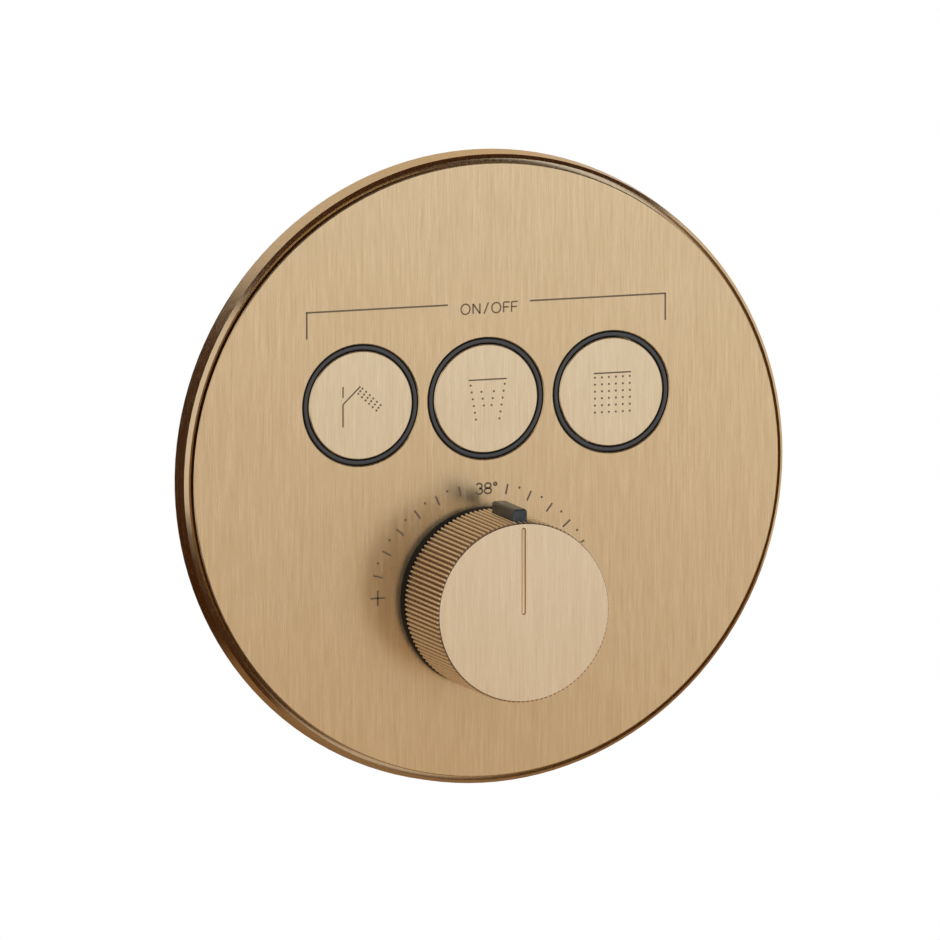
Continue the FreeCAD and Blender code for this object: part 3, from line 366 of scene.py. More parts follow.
def finish(name, group, tones, rough, bump, metal=0.0, pitch=None, edge_tint=None, gloss=None, painted_shade=None):
    """A finish from two tones, a span of roughness and a bump, all driven by one shader group. Where a mask
    says so, it takes a painted shade: the last argument holds the mask's function and the shade's tone."""
    material, tree, output = new_material(name)
    effect = add_node(tree, "ShaderNodeGroup", node_tree=group)
    if pitch:
        effect.inputs[0].default_value = pitch
    fine, broad = effect.outputs[0], effect.outputs[1]
    mask = add_node(tree, "ShaderNodeMix", {0: broad_share, 2: fine, 3: broad})
    shade = mixed(tree, ranged(tree, mask.outputs[0], 0.0, 1.0), *tones)
    # Painted shade: a deeper tone laid on where the mask is 1.
    if painted_shade:
        shade = mixed(tree, painted_shade[0](tree), shade, painted_shade[1])
    relief = add_node(tree, "ShaderNodeBump", {"Strength": bump, "Distance": bump_depth, "Height": fine})
    surface = add_node(tree, "ShaderNodeBsdfPrincipled", {
        "Base Color": shade, "Roughness": ranged(tree, broad, *rough), "Metallic": metal,
        "Normal": relief.outputs[0],
    })
    if edge_tint:
        surface.inputs["Specular Tint"].default_value = edge_tint
    if gloss:
        surface.inputs["Specular IOR Level"].default_value = gloss
    tree.links.new(surface.outputs[0], output.inputs["Surface"])
    return material


mask_low, mask_high = 0.3, 0.7
broad_share = 0.3
wall_tilt = 0.3
bump_depth = 0.02 * mm

# %% Finishes of this mixer
# The near-black tone is painted shade on the caps' side walls, in the gaps round them.
cap_wall_painted_shade = colour(20, 14, 10)
# The brown tone is painted shade on the plate's walls, in the groove round it and in its holes.
plate_wall_painted_shade = colour(80, 50, 27)
rim_tones = (colour(197, 170, 134), colour(211, 186, 152))
plate_tones = (colour(182, 150, 106), colour(208, 177, 136))
cap_tones = (colour(194, 166, 126), colour(215, 190, 154))
knob_tones = (colour(198, 171, 133), colour(218, 193, 159))
bronze = {"rough": (0.21, 0.28), "bump": 0.03, "metal": 0.85, "edge_tint": colour(226, 204, 176)}
finishes = {
    "bronze": finish("brushed_bronze", brushed_lines, plate_tones, **bronze),
    # The plate's walls take painted brown shade.
    "plate_bronze": finish(
        "plate_bronze", brushed_lines, plate_tones, painted_shade=(walls_for_painted_shade, plate_wall_painted_shade), **bronze,
    ),
    "rim_bronze": finish("rim_bronze", brushed_lines, rim_tones, **dict(bronze, metal=1.0)),
    # The caps' side walls take painted near-black shade.
    "cap_bronze": finish("cap_bronze", brushed_lines, cap_tones, painted_shade=(walls_for_painted_shade, cap_wall_painted_shade), **bronze),
    "knob_bronze": finish("knob_face_bronze", brushed_lines, knob_tones, **bronze),
}
# Each plain finish has a name, its shader group, its dark and its light tone, and the rest by name.
plain_finishes = {
    "dark_ring": ("dark_satin_ring", moulded_grain, (44, 41, 37), (57, 53, 48),
                  dict(rough=(0.42, 0.54), bump=0.08)),
    "black_plastic": ("black_plastic", moulded_grain, (24, 23, 22), (34, 33, 31),
                      dict(rough=(0.55, 0.68), bump=0.15, gloss=0.08)),
    "safety_plastic": ("grained_safety_plastic", moulded_grain, (22, 22, 22), (72, 71, 69),
                       dict(rough=(0.30, 0.40), bump=0.30, pitch=1700.0, gloss=0.32)),
    "carrier_plastic": ("moulded_carrier", moulded_grain, (52, 54, 57), (64, 66, 69),
                        dict(rough=(0.45, 0.60), bump=0.25)),
    "cartridge_plastic": ("acetal_plastic", moulded_grain, (214, 211, 203), (226, 224, 217),
                          dict(rough=(0.38, 0.50), bump=0.10)),
    "brass": ("cast_brass", cast_skin, (196, 160, 92), (214, 180, 112),
              dict(rough=(0.36, 0.52), bump=0.45, metal=1.0)),
    "machined_brass": ("machined_brass", brushed_lines, (216, 183, 112), (222, 190, 120),
                       dict(rough=(0.27, 0.29), bump=0.004, metal=1.0)),
    "copper": ("drawn_copper", brushed_lines, (196, 118, 84), (212, 136, 100),
               dict(rough=(0.26, 0.34), bump=0.03, metal=1.0)),
    "rubber": ("black_rubber", moulded_grain, (26, 26, 27), (36, 36, 37),
               dict(rough=(0.65, 0.80), bump=0.20)),
    "steel": ("stainless_steel", brushed_lines, (186, 188, 190), (202, 203, 204),
              dict(rough=(0.24, 0.32), bump=0.02, metal=1.0)),
    "zinc_steel": ("zinc_plated_steel", cast_skin, (176, 180, 184), (198, 200, 200),
                   dict(rough=(0.28, 0.44), bump=0.12, metal=1.0, pitch=260.0)),
}
for slot, (name, group, dark, light, look) in plain_finishes.items():
    finishes[slot] = finish(name, group, (colour(*dark), colour(*light)), **look)

# %% Finish of each CAD piece
own_finishes = {
    "face_plate": "plate_bronze", "rim_ring": "rim_bronze", "button_cap": "cap_bronze",
    "union": "machined_brass", "nut": "machined_brass", "spindle": "machined_brass",
    "push_rod": "machined_brass",
}
slots = {subpart["node"]: subpart["material_slot"] for subpart in frame["record"]["subparts"]}
for name, slot in slots.items():
    own = [chosen for part, chosen in own_finishes.items() if part in name]
    mesh = frame["nodes"][name].data
    mesh.materials.clear()
    mesh.materials.append(finishes[own[0] if own else slot])
print("finishes", sorted(finishes))

# %% [markdown]
# ## Geometry Nodes: shared steps
# A Geometry Nodes tree is a recipe: sizes go in by name and a mesh comes out. Its result is turned into a
# plain mesh before the piece joins the object, because an export keeps meshes and not recipes. The helpers
# below start and end a tree, run it on a piece, and put the piece on its body.

# %% Tree helpers
def new_recipe(name, sizes):
    """A geometry tree for a mesh, some sizes and a material, what it is given, and its end node."""
    tree = bpy.data.node_groups.new(name, "GeometryNodeTree")
    tree.interface.new_socket("Geometry", in_out="INPUT", socket_type="NodeSocketGeometry")
    for label, kind in sizes.items():
        tree.interface.new_socket(label, in_out="INPUT", socket_type="NodeSocket" + kind)
    tree.interface.new_socket("Material", in_out="INPUT", socket_type="NodeSocketMaterial")
    tree.interface.new_socket("Geometry", in_out="OUTPUT", socket_type="NodeSocketGeometry")
    return tree, tree.nodes.new("NodeGroupInput").outputs, tree.nodes.new("NodeGroupOutput")


def end_recipe(tree, given, end, geometry, turn=None):
    """Every recipe ends in real meshes with their material; with a turn, they are turned and put in place."""
    if turn is not None:
        geometry = add_node(tree, "GeometryNodeTransform", {
            "Geometry": geometry, "Translation": given["Place"], "Rotation": turn,
        }).outputs[0]
    real = add_node(tree, "GeometryNodeRealizeInstances", {0: geometry})
    coated = add_node(tree, "GeometryNodeSetMaterial", {
        "Geometry": real.outputs[0], "Material": given["Material"],
    })
    tree.links.new(coated.outputs[0], end.inputs[0])
    return tree


def plain_mesh(piece):
    """The piece with its modifiers worked into its mesh."""
    graph = bpy.context.evaluated_depsgraph_get()
    mesh = bpy.data.meshes.new_from_object(piece.evaluated_get(graph))
    piece.modifiers.clear()
    piece.data = mesh
    return piece


def follow_recipe(piece, tree, sizes):
    """Runs a recipe on a piece with these sizes, given by the inputs' names."""
    labels = {item.name: item.identifier for item in tree.interface.items_tree if item.in_out == "INPUT"}
    modifier = piece.modifiers.new(tree.name, "NODES")
    modifier.node_group = tree
    for label, value in sizes.items():
        modifier[labels[label]] = value
    return plain_mesh(piece)


def dress(piece, body, stands_for=()):
    """A finished piece rides on its body, and may stand for CAD nodes, which are then hidden."""
    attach(piece, body)
    if stands_for:
        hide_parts(*stands_for)


def report(piece):
    """Prints what was made and how large it is."""
    size = [round(v / mm, 2) for v in piece.dimensions]
    print(piece.name, "faces", len(piece.data.polygons), "size in mm", size)

# %% [markdown]
# ## The knob's grip
# Such a knob is turned from bar: straight ribs are pressed into its side, the front edge is broken, and it
# is bored out from behind. Cutting a ribbed bar with a turned blank would give that too, but thousands of
# crossing faces make it slow. A recipe does it by rule: it turns the blank's profile round the axis, and
# wherever the profile reaches past the ribs' outline at that angle, it stops at the outline. So each rib
# ends in the chamfer as on a lathe. The pointer groove, the slot and the set screw's hole are cut last, with
# small tools.

# %% Turned shapes
def finished_mesh(name, build):
    """A linked object from a bmesh, with its faces turned outwards."""
    bmesh.ops.recalc_face_normals(build, faces=build.faces)
    mesh = bpy.data.meshes.new(name)
    build.to_mesh(mesh)
    build.free()
    return link(name, mesh)


def turned(name, profile, sides):
    """A shape turned round the z axis, from (radius, z) points in millimetres; its ends lie on the axis."""
    build = bmesh.new()
    rings = []
    for radius, z in profile:
        angles = [2 * math.pi * i / sides for i in range(sides)]
        spots = [(radius * math.cos(a) * mm, radius * math.sin(a) * mm, z * mm) for a in angles]
        rings.append([build.verts.new(spot) for spot in spots])
    for lower, upper in zip(rings, rings[1:]):
        for i in range(sides):
            build.faces.new((lower[i - 1], lower[i], upper[i], upper[i - 1]))
    bmesh.ops.remove_doubles(build, verts=build.verts, dist=merge_distance)
    return finished_mesh(name, build)


def block(name, *spans):
    """A plain box as a cutting tool, from its x, y and z spans in millimetres."""
    build = bmesh.new()
    for corner in bmesh.ops.create_cube(build, size=1.0)["verts"]:
        corner.co = [
            (sum(span) / 2 + share * (span[1] - span[0])) * mm for span, share in zip(spans, corner.co)
        ]
    return finished_mesh(name, build)


def cut_away(piece, tool):
    """The piece without the room of a cutting tool, which is then removed."""
    modifier = piece.modifiers.new(tool.name, "BOOLEAN")
    modifier.operation = "DIFFERENCE"
    modifier.solver = "EXACT"
    modifier.object = tool
    plain_mesh(piece)
    bpy.data.objects.remove(tool)


def smooth_below(piece, degrees):
    """Shades the piece smooth, with edges sharper than this kept crisp."""
    piece.data.shade_smooth()
    piece.data.set_sharp_from_angle(angle=math.radians(degrees))


def tip(piece, angle):
    """Turns a piece's mesh about the x axis."""
    piece.data.transform(Matrix.Rotation(angle, matrix_size, "X"))


merge_distance = 0.001 * mm
crisp_degrees, wire_crisp_degrees = 38, 60
matrix_size = 4

# %% Ribbed turning recipe
def ribbed_turning_recipe():
    """Turns the points of a profile (radius in x, height in y) and stops it at the ribs' outline."""
    tree, given, end = new_recipe("ribbed_turning", {
        "Ribs": "Int", "Facets": "Int", "Points": "Int", "Crest radius": "Float", "Depth": "Float",
        "Place": "Vector",
    })
    around = maths(tree, "MULTIPLY", given["Ribs"], given["Facets"])
    grid = add_node(tree, "GeometryNodeMeshGrid", {
        "Vertices X": maths(tree, "ADD", around, 1.0), "Vertices Y": given["Points"],
    })
    index = add_node(tree, "GeometryNodeInputIndex").outputs[0]
    row = maths(tree, "MODULO", index, given["Points"])
    column = maths(tree, "FLOOR", maths(tree, "DIVIDE", index, given["Points"]))
    spot = add_node(tree, "GeometryNodeInputPosition")
    drawn_at = add_node(tree, "GeometryNodeSampleIndex", {
        0: given["Geometry"], "Value": spot.outputs[0], "Index": row,
    }, data_type="FLOAT_VECTOR")
    profile = add_node(tree, "ShaderNodeSeparateXYZ", {0: drawn_at.outputs[0]})
    angle = maths(tree, "MULTIPLY", maths(tree, "DIVIDE", column, around), 2 * math.pi)
    wave = maths(tree, "COSINE", maths(tree, "MULTIPLY", angle, given["Ribs"]))
    dip = add_node(tree, "ShaderNodeMapRange", {
        "Value": wave, "From Min": -rib_flank, "From Max": rib_flank, "To Min": 0.0, "To Max": given["Depth"],
    })
    outline = maths(tree, "SUBTRACT", given["Crest radius"], dip.outputs[0])
    radius = maths(tree, "MINIMUM", profile.outputs[0], outline)
    place = add_node(tree, "ShaderNodeCombineXYZ", {
        0: maths(tree, "MULTIPLY", radius, maths(tree, "SINE", angle)),
        1: maths(tree, "MULTIPLY", radius, maths(tree, "COSINE", angle)),
        2: profile.outputs[1],
    })
    shell = add_node(tree, "GeometryNodeSetPosition", {
        "Geometry": grid.outputs[0], "Position": place.outputs[0],
    })
    whole = add_node(tree, "GeometryNodeMergeByDistance", {0: shell.outputs[0], "Distance": merge_distance})
    return end_recipe(tree, given, end, whole.outputs[0], to_the_front)


rib_flank = 0.75
to_the_front = (math.pi / 2, 0, 0)
ribbed_turning = ribbed_turning_recipe()
print("recipe", ribbed_turning.name)

# %% Knob
knob_low, knob_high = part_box("knob_shell")
knob_z = (knob_low.z + knob_high.z) / 2 / mm
knob_front, knob_rear = knob_low.y / mm, knob_high.y / mm
knob_radius = (knob_high.x - knob_low.x) / 2 / mm
rib_count, rib_facets, rib_depth = 117, 10, 0.5
edge_break, edge_steps = 0.52, 8
knob_bore, knob_front_wall = 22.0, 3.0
flat_share = 0.96


def knob_profile():
    """The blank from the bore's floor, round the rear and the broken front edge, to the face's middle."""
    length = knob_rear - knob_front
    flat = knob_radius - edge_break
    breaks = [edge_break * i / edge_steps for i in range(edge_steps + 1)]
    rear_edge = [(flat + b, b) for b in breaks]
    front_edge = [(knob_radius - b, length - edge_break + b) for b in breaks]
    floor_height = length - knob_front_wall
    bore = [(0, floor_height), (knob_bore, floor_height), (knob_bore, 0)]
    return bore + rear_edge + front_edge + [(flat_share * flat, length), (0, length)]


profile = knob_profile()
knob_mesh = bpy.data.meshes.new("knob_profile")
knob_mesh.from_pydata([(radius * mm, height * mm, 0) for radius, height in profile], [], [])
knob = link("knob_grip", knob_mesh)
follow_recipe(knob, ribbed_turning, {
    "Ribs": rib_count, "Facets": rib_facets, "Points": len(profile), "Crest radius": knob_radius * mm,
    "Depth": rib_depth * mm, "Place": (0, knob_rear * mm, knob_z * mm), "Material": finishes["bronze"],
})
outwards = bmesh.new()
outwards.from_mesh(knob.data)
bmesh.ops.recalc_face_normals(outwards, faces=outwards.faces)
outwards.to_mesh(knob.data)
outwards.free()
report(knob)

# %% Cuts in the knob
pointer_half, pointer_end_gap = 0.65, 1.55
slot_half, slot_play = 2.25, 0.2
screw_hole_radius = 2.2
safety_low, safety_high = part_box("safety_button")
slot_ys = (safety_low.y / mm - slot_play, safety_high.y / mm + slot_play)
screw_hole_y = sum(corner.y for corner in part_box("knob_grub_screw")) / 2 / mm
overrun = 1.0
tool_sides, ball_steps = 32, 8
ball_step = math.pi / 2 / ball_steps


def pointer_tool():
    """A round bar with ball ends along z; half of it lies in the knob's face and leaves a U-shaped groove."""
    top = knob_radius - pointer_end_gap - pointer_half
    turns = [i * ball_step for i in range(ball_steps + 1)]
    foot = [(pointer_half * math.sin(a), -pointer_half * math.cos(a)) for a in turns]
    head = [(pointer_half * math.cos(a), top + pointer_half * math.sin(a)) for a in turns]
    tool = turned("pointer_tool", foot + head, tool_sides)
    tool.data.transform(Matrix.Translation((0, knob_front * mm, knob_z * mm)))
    return tool


def screw_tool():
    """A round bar for the set screw's hole, from below up to the knob's middle."""
    reach = knob_radius + overrun
    bar = [(0, -reach), (screw_hole_radius, -reach), (screw_hole_radius, 0), (0, 0)]
    tool = turned("screw_tool", bar, tool_sides)
    tool.data.transform(Matrix.Translation((0, screw_hole_y * mm, knob_z * mm)))
    return tool


slot_zs = (knob_z, knob_z + knob_radius + overrun)
cut_away(knob, pointer_tool())
cut_away(knob, block("slot_tool", (-slot_half, slot_half), slot_ys, slot_zs))
cut_away(knob, screw_tool())
smooth_below(knob, crisp_degrees)
report(knob)

# %% Finish of the knob
def painted_shade_in_valleys(tree):
    """A mask that is 1 at the foot of the ribs and 0 on their crests, for the painted shade in the valleys.
    """
    from_axis = vector_maths(tree, "SUBTRACT", here(tree), (0, 0, knob_z * mm))[0]
    across = vector_maths(tree, "MULTIPLY", from_axis, (1, 0, 1))[0]
    return add_node(tree, "ShaderNodeMapRange", {
        "Value": vector_maths(tree, "LENGTH", across)["Value"], "From Min": valley_radius * mm,
        "From Max": knob_radius * mm, "To Min": 1.0, "To Max": 0.0,
    }).outputs[0]


valley_radius = knob_radius - rib_depth
rib_tones = (colour(231, 208, 174), colour(243, 222, 190))
facing_front, near_the_ribs = 0.9, 0.05
# The ribs' valleys take a painted dark brown shade, where the ribs shade one another.
finishes["rib_bronze"] = finish(
    "ribbed_bronze", brushed_lines, rib_tones, rough=(0.24, 0.32), bump=0.0, metal=0.8,
    painted_shade=(painted_shade_in_valleys, colour(100, 63, 32)),
)
knob_finishes = ("bronze", "knob_bronze", "rib_bronze")
knob.data.materials.clear()
for name in knob_finishes:
    knob.data.materials.append(finishes[name])
for face in knob.data.polygons:
    from_axis = math.hypot(face.center.x, face.center.z - knob_z * mm)
    if from_axis > (valley_radius - near_the_ribs) * mm:
        chosen = "rib_bronze"
    else:
        chosen = "knob_bronze" if face.normal.y < -facing_front else "bronze"
    face.material_index = knob_finishes.index(chosen)
dress(knob, "knob", ["knob_shell"])
print("knob finishes", [material.name for material in knob.data.materials])

# %% [markdown]
# ## Guide sleeves of the buttons
# A dark moulded sleeve guides each cap. Its front edges are rounded. A thin lip at its back, which is a
# guess and not in the CAD model, almost meets the cap, so that no light shows through the gap. A turned
# profile replaces the plain CAD sleeve, and the same function makes all three.

# %% Guide sleeves
button_sides = ("left", "middle", "right")
sleeve_inner, sleeve_outer, sleeve_flange = 15.8, 16.95, 18.3
lip_inner, lip_height, flange_height = 15.52, 0.6, 2.4
sleeve_round, round_steps, sleeve_sides = 0.3, 5, 144


def sleeve_profile(height):
    """The sleeve's closed outline as (radius, height) points, from its back to its rounded front."""
    turns = [math.pi / 2 * i / round_steps for i in range(round_steps + 1)]
    bends = [(sleeve_round * math.cos(a), sleeve_round * math.sin(a)) for a in turns]
    outer_middle, inner_middle = sleeve_outer - sleeve_round, sleeve_inner + sleeve_round
    level = height - sleeve_round
    outer = [(outer_middle + across, level + along) for across, along in bends]
    inner = [(inner_middle - along, level + across) for across, along in bends]
    back = [(lip_inner, 0), (sleeve_flange, 0), (sleeve_flange, flange_height), (sleeve_outer, flange_height)]
    return back + outer + inner + [(sleeve_inner, lip_height), (lip_inner, lip_height), (lip_inner, 0)]


for side in button_sides:
    node = "button_bezel_" + side
    low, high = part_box(node)
    sleeve = turned("guide_sleeve_" + side, sleeve_profile((high.y - low.y) / mm), sleeve_sides)
    tip(sleeve, to_the_front[0])
    sleeve.data.transform(Matrix.Translation(((low.x + high.x) / 2, high.y, (low.z + high.z) / 2)))
    sleeve.data.materials.append(finishes["dark_ring"])
    smooth_below(sleeve, crisp_degrees)
    dress(sleeve, "mixer", [node])
    report(sleeve)

# %% [markdown]
# ## Springs and port threads
# A spring is wire wound along a screw line, and so is the crest of a pipe thread, so one recipe makes both:
# round wire for the springs, a four-sided wire half sunk in the bore for the threads.

# %% Coil recipe
def coil_recipe():
    """Wire wound along a screw line that starts at its place and climbs along the turned z axis."""
    tree, given, end = new_recipe("coil", {
        "Turns": "Float", "Radius": "Float", "Wire": "Float", "Wire sides": "Int", "Height": "Float",
        "Place": "Vector", "Turn": "Vector",
    })
    path = add_node(tree, "GeometryNodeCurveSpiral", {
        "Resolution": coil_steps, "Rotations": given["Turns"], "Height": given["Height"],
        "Start Radius": given["Radius"], "End Radius": given["Radius"],
    })
    section = add_node(tree, "GeometryNodeCurvePrimitiveCircle", {
        "Resolution": given["Wire sides"], "Radius": given["Wire"],
    })
    wound = add_node(tree, "GeometryNodeCurveToMesh", {
        "Curve": path.outputs[0], "Profile Curve": section.outputs[0], "Fill Caps": True,
    })
    return end_recipe(tree, given, end, wound.outputs[0], given["Turn"])


def coil(name, sizes):
    """A piece that is one coil."""
    piece = link(name, bpy.data.meshes.new(name))
    return follow_recipe(piece, coil_wire, sizes)


coil_steps = 48
x_axis, y_axis, z_axis = 0, 1, 2
along_x, along_z = (0, math.pi / 2, 0), (0, 0, 0)
coil_wire = coil_recipe()
print("recipe", coil_wire.name)

# %% Springs
spring_sides = 12
spring_end_gap = 0.1
# Each spring has a node, its body, its joint, its axis, the wire's radius, the turns and the joint's travel.
springs = (
    ("safety_spring", "knob", "safety_press", z_axis, 0.3, 5.0, 2.0),
    ("return_spring", "mixer", "regulator_travel", y_axis, 0.5, 3.0, 1.0),
    *(("poppet_spring_" + side, "mixer", "press_" + side, y_axis, 0.5, 4.0, 4.0) for side in button_sides),
)
for node, body, joint, axis, wire, turns, travel in springs:
    upright = axis == z_axis
    low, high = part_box(node)
    fixed_end = (low + high) / 2
    fixed_end[axis] = low.z if upright else high.y
    foot = fixed_end.copy()
    foot[axis] += wire * mm if upright else -wire * mm
    length = high[axis] - low[axis]
    wound = coil(node + "_wire", {
        "Turns": turns, "Radius": (high.x - low.x) / 2 - wire * mm, "Wire": wire * mm,
        "Wire sides": spring_sides, "Height": length - (2 * wire + spring_end_gap) * mm, "Place": foot,
        "Turn": along_z if upright else to_the_front, "Material": finishes["steel"],
    })
    smooth_below(wound, wire_crisp_degrees)
    dress(wound, body, [node])
    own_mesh(wound)
    report(wound)

# %% Port threads
thread_radius, thread_crest, thread_pitch, thread_turns, thread_sides = 9.3, 0.5, 1.814, 5.5, 4
# Each port has a node, its axis, and whether its mouth is at the upper end of that axis.
ports = (
    ("inlet_union_hot", x_axis, False), ("inlet_union_cold", x_axis, True),
    *(("outlet_union_" + side, z_axis, True) for side in button_sides),
)
for node, axis, at_top in ports:
    low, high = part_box(node)
    climb = thread_turns * thread_pitch * mm
    foot = (low + high) / 2
    foot[axis] = high[axis] - climb - thread_crest * mm if at_top else low[axis] + thread_crest * mm
    thread = coil("thread_of_" + node, {
        "Turns": thread_turns, "Radius": thread_radius * mm, "Wire": thread_crest * mm,
        "Wire sides": thread_sides, "Height": climb, "Place": foot,
        "Turn": along_z if axis == z_axis else along_x, "Material": finishes["machined_brass"],
    })
    dress(thread, "mixer")
    report(thread)

# %% [markdown]
# ## Bracket screws
# Four countersunk screws hold the bracket to the valve body. One screw is turned and its six-sided socket is
# cut, and a recipe then sets copies of it out at the corners of the CAD group.

# %% Bracket screws
head_radius, head_height, shank_radius = 3.6, 1.7, 1.9
socket_radius, socket_depth, socket_sides = 1.45, 1.3, 6


def countersunk_screw(length):
    """A countersunk screw that points forwards from its head, with a six-sided socket."""
    neck = length - head_height
    screw = turned("bracket_screw", [
        (0, 0), (shank_radius, 0), (shank_radius, neck), (head_radius, length), (0, length),
    ], tool_sides)
    floor_of_socket = length - socket_depth
    cut_away(screw, turned("socket_tool", [
        (0, floor_of_socket), (socket_radius, floor_of_socket), (socket_radius, length + overrun),
        (0, length + overrun),
    ], socket_sides))
    tip(screw, -to_the_front[0])
    smooth_below(screw, crisp_degrees)
    return screw


def set_out_recipe():
    """Copies of a piece, one on each point of the mesh."""
    tree, given, end = new_recipe("set_out", {"Piece": "Object"})
    copied = add_node(tree, "GeometryNodeObjectInfo", {"Object": given["Piece"]})
    placed = add_node(tree, "GeometryNodeInstanceOnPoints", {
        "Points": given["Geometry"], "Instance": copied.outputs["Geometry"],
    })
    return end_recipe(tree, given, end, placed.outputs[0])


low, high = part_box("bracket_screws")
inset = head_radius * mm
places = [(x, low.y, z) for x in (low.x + inset, high.x - inset) for z in (low.z + inset, high.z - inset)]
screw_mesh = bpy.data.meshes.new("screw_places")
screw_mesh.from_pydata(places, [], [])
bracket_screws = link("socket_screws", screw_mesh)
one_screw = countersunk_screw((high.y - low.y) / mm)
follow_recipe(bracket_screws, set_out_recipe(), {"Piece": one_screw, "Material": finishes["steel"]})
bpy.data.objects.remove(one_screw)
dress(bracket_screws, "mixer", ["bracket_screws"])
report(bracket_screws)

# %% [markdown]
# ## Printed signs
# The marks on the plate are thin print. Each stroke is drawn as a line on a flat sheet, in millimetres from
# the middle of the plate, and one recipe gives every line its width and a film's height and lays it on the
# metal. A second recipe puts a dot on every point. The letters and the pictograms are plain generic signs.

# %% Ink recipes
def ink_line_recipe():
    """Lines drawn on a sheet become flat bands of ink on the face."""
    tree, given, end = new_recipe("ink_line", {"Width": "Float", "Lift": "Float", "Place": "Vector"})
    curve = add_node(tree, "GeometryNodeMeshToCurve", {0: given["Geometry"]})
    level = add_node(tree, "GeometryNodeSetCurveNormal", {0: curve.outputs[0]})
    level.mode = "Z_UP"
    film = maths(tree, "MULTIPLY", given["Lift"], 2.0)
    section = add_node(tree, "GeometryNodeCurvePrimitiveQuadrilateral", {
        "Width": given["Width"], "Height": film,
    })
    band = add_node(tree, "GeometryNodeCurveToMesh", {
        "Curve": level.outputs[0], "Profile Curve": section.outputs[0], "Fill Caps": True,
    })
    return end_recipe(tree, given, end, band.outputs[0], to_the_front)


def ink_dot_recipe():
    """Every point of a sheet becomes a round dot of ink on the face."""
    tree, given, end = new_recipe("ink_dots", {"Radius": "Float", "Lift": "Float", "Place": "Vector"})
    film = maths(tree, "MULTIPLY", given["Lift"], 2.0)
    dot = add_node(tree, "GeometryNodeMeshCylinder", {
        "Vertices": dot_sides, "Radius": given["Radius"], "Depth": film,
    })
    dots = add_node(tree, "GeometryNodeInstanceOnPoints", {
        "Points": given["Geometry"], "Instance": dot.outputs[0],
    })
    return end_recipe(tree, given, end, dots.outputs[0], to_the_front)


def dial_recipe():
    """The mark that it is given, repeated evenly round the dial with its middle left free."""
    tree, given, end = new_recipe("dial_marks", {
        "Count": "Int", "Step": "Float", "Free steps": "Float", "Place": "Vector",
    })
    points = add_node(tree, "GeometryNodePoints", {"Count": given["Count"]})
    index = add_node(tree, "GeometryNodeInputIndex").outputs[0]
    middle = maths(tree, "DIVIDE", maths(tree, "SUBTRACT", given["Count"], 1.0), 2.0)
    steps = maths(tree, "SUBTRACT", index, middle)
    shown = maths(tree, "GREATER_THAN", maths(tree, "ABSOLUTE", steps), given["Free steps"])
    turn = add_node(tree, "ShaderNodeCombineXYZ", {2: maths(tree, "MULTIPLY", steps, given["Step"])})
    marks = add_node(tree, "GeometryNodeInstanceOnPoints", {
        "Points": points.outputs[0], "Selection": shown, "Instance": given["Geometry"],
        "Rotation": turn.outputs[0],
    })
    return end_recipe(tree, given, end, marks.outputs[0], to_the_front)


dot_sides = 16
ink_line, ink_dots, dial_marks = ink_line_recipe(), ink_dot_recipe(), dial_recipe()
ink_tones = (colour(108, 90, 69), colour(120, 101, 79))
finishes["ink"] = finish("printed_ink", moulded_grain, ink_tones, rough=(0.5, 0.6), bump=0.05, gloss=0.04)
print("recipes", ink_line.name, ink_dots.name, dial_marks.name)

# %% Drawing helpers
def arc(centre, radii, first, last, points=28):
    """Points along part of an ellipse, from one angle in degrees to another."""
    angles = [math.radians(first + (last - first) * i / (points - 1)) for i in range(points)]
    return [(centre[0] + radii[0] * math.cos(a), centre[1] + radii[1] * math.sin(a)) for a in angles]


def drawn(name, strokes):
    """A sheet of lines, each a run of (x, z) points in millimetres, closed if it ends where it began."""
    places, edges = [], []
    for stroke in strokes:
        first = len(places)
        closed = math.dist(stroke[0], stroke[-1]) < closed_gap
        kept = stroke[:-1] if closed else stroke
        places += [(x * mm, z * mm, 0) for x, z in kept]
        edges += [(first + i, first + i + 1) for i in range(len(kept) - 1)]
        if closed:
            edges.append((len(places) - 1, first))
    mesh = bpy.data.meshes.new(name)
    mesh.from_pydata(places, edges, [])
    return link(name, mesh)


def moved(strokes, x, z, scale=1.0):
    """The strokes in another place and size."""
    return [[(x + scale * px, z + scale * pz) for px, pz in stroke] for stroke in strokes]


closed_gap = 0.001
letter_width = {"O": 0.92, "N": 0.7, "/": 0.46, "F": 0.64, "3": 0.66, "8": 0.68}
full_turn, round_points = (0, 360), 40
bar_height_share, bar_length_share, slash_overrun_share = 0.52, 0.88, 0.06
upper_bowl_share = 0.43
three_shares, three_turns = (0.255, 0.265), ((160, -90), (90, -160))
eight_shares, eight_turns = (0.25, 0.26), (full_turn, full_turn)


def bowls(width, half_heights, turns):
    """The upper and the lower bowl of a figure of height 1, each drawn from one angle to another."""
    upper, lower = half_heights
    return [
        arc((width / 2, 1 - upper), (upper_bowl_share * width, upper), *turns[0]),
        arc((width / 2, lower), (width / 2, lower), *turns[1]),
    ]


def letter(sign):
    """One letter or figure of height 1, drawn with a single line."""
    w = letter_width[sign]
    if sign == "O":
        return [arc((w / 2, 1 / 2), (w / 2, 1 / 2), *full_turn, round_points)]
    if sign == "N":
        return [[(0, 0), (0, 1)], [(0, 1), (w, 0)], [(w, 0), (w, 1)]]
    if sign == "F":
        bar = [(0, bar_height_share), (bar_length_share * w, bar_height_share)]
        return [[(0, 0), (0, 1)], [(0, 1), (w, 1)], bar]
    if sign == "/":
        return [[(0, -slash_overrun_share), (w, 1 + slash_overrun_share)]]
    if sign == "3":
        return bowls(w, three_shares, three_turns)
    return bowls(w, eight_shares, eight_turns)

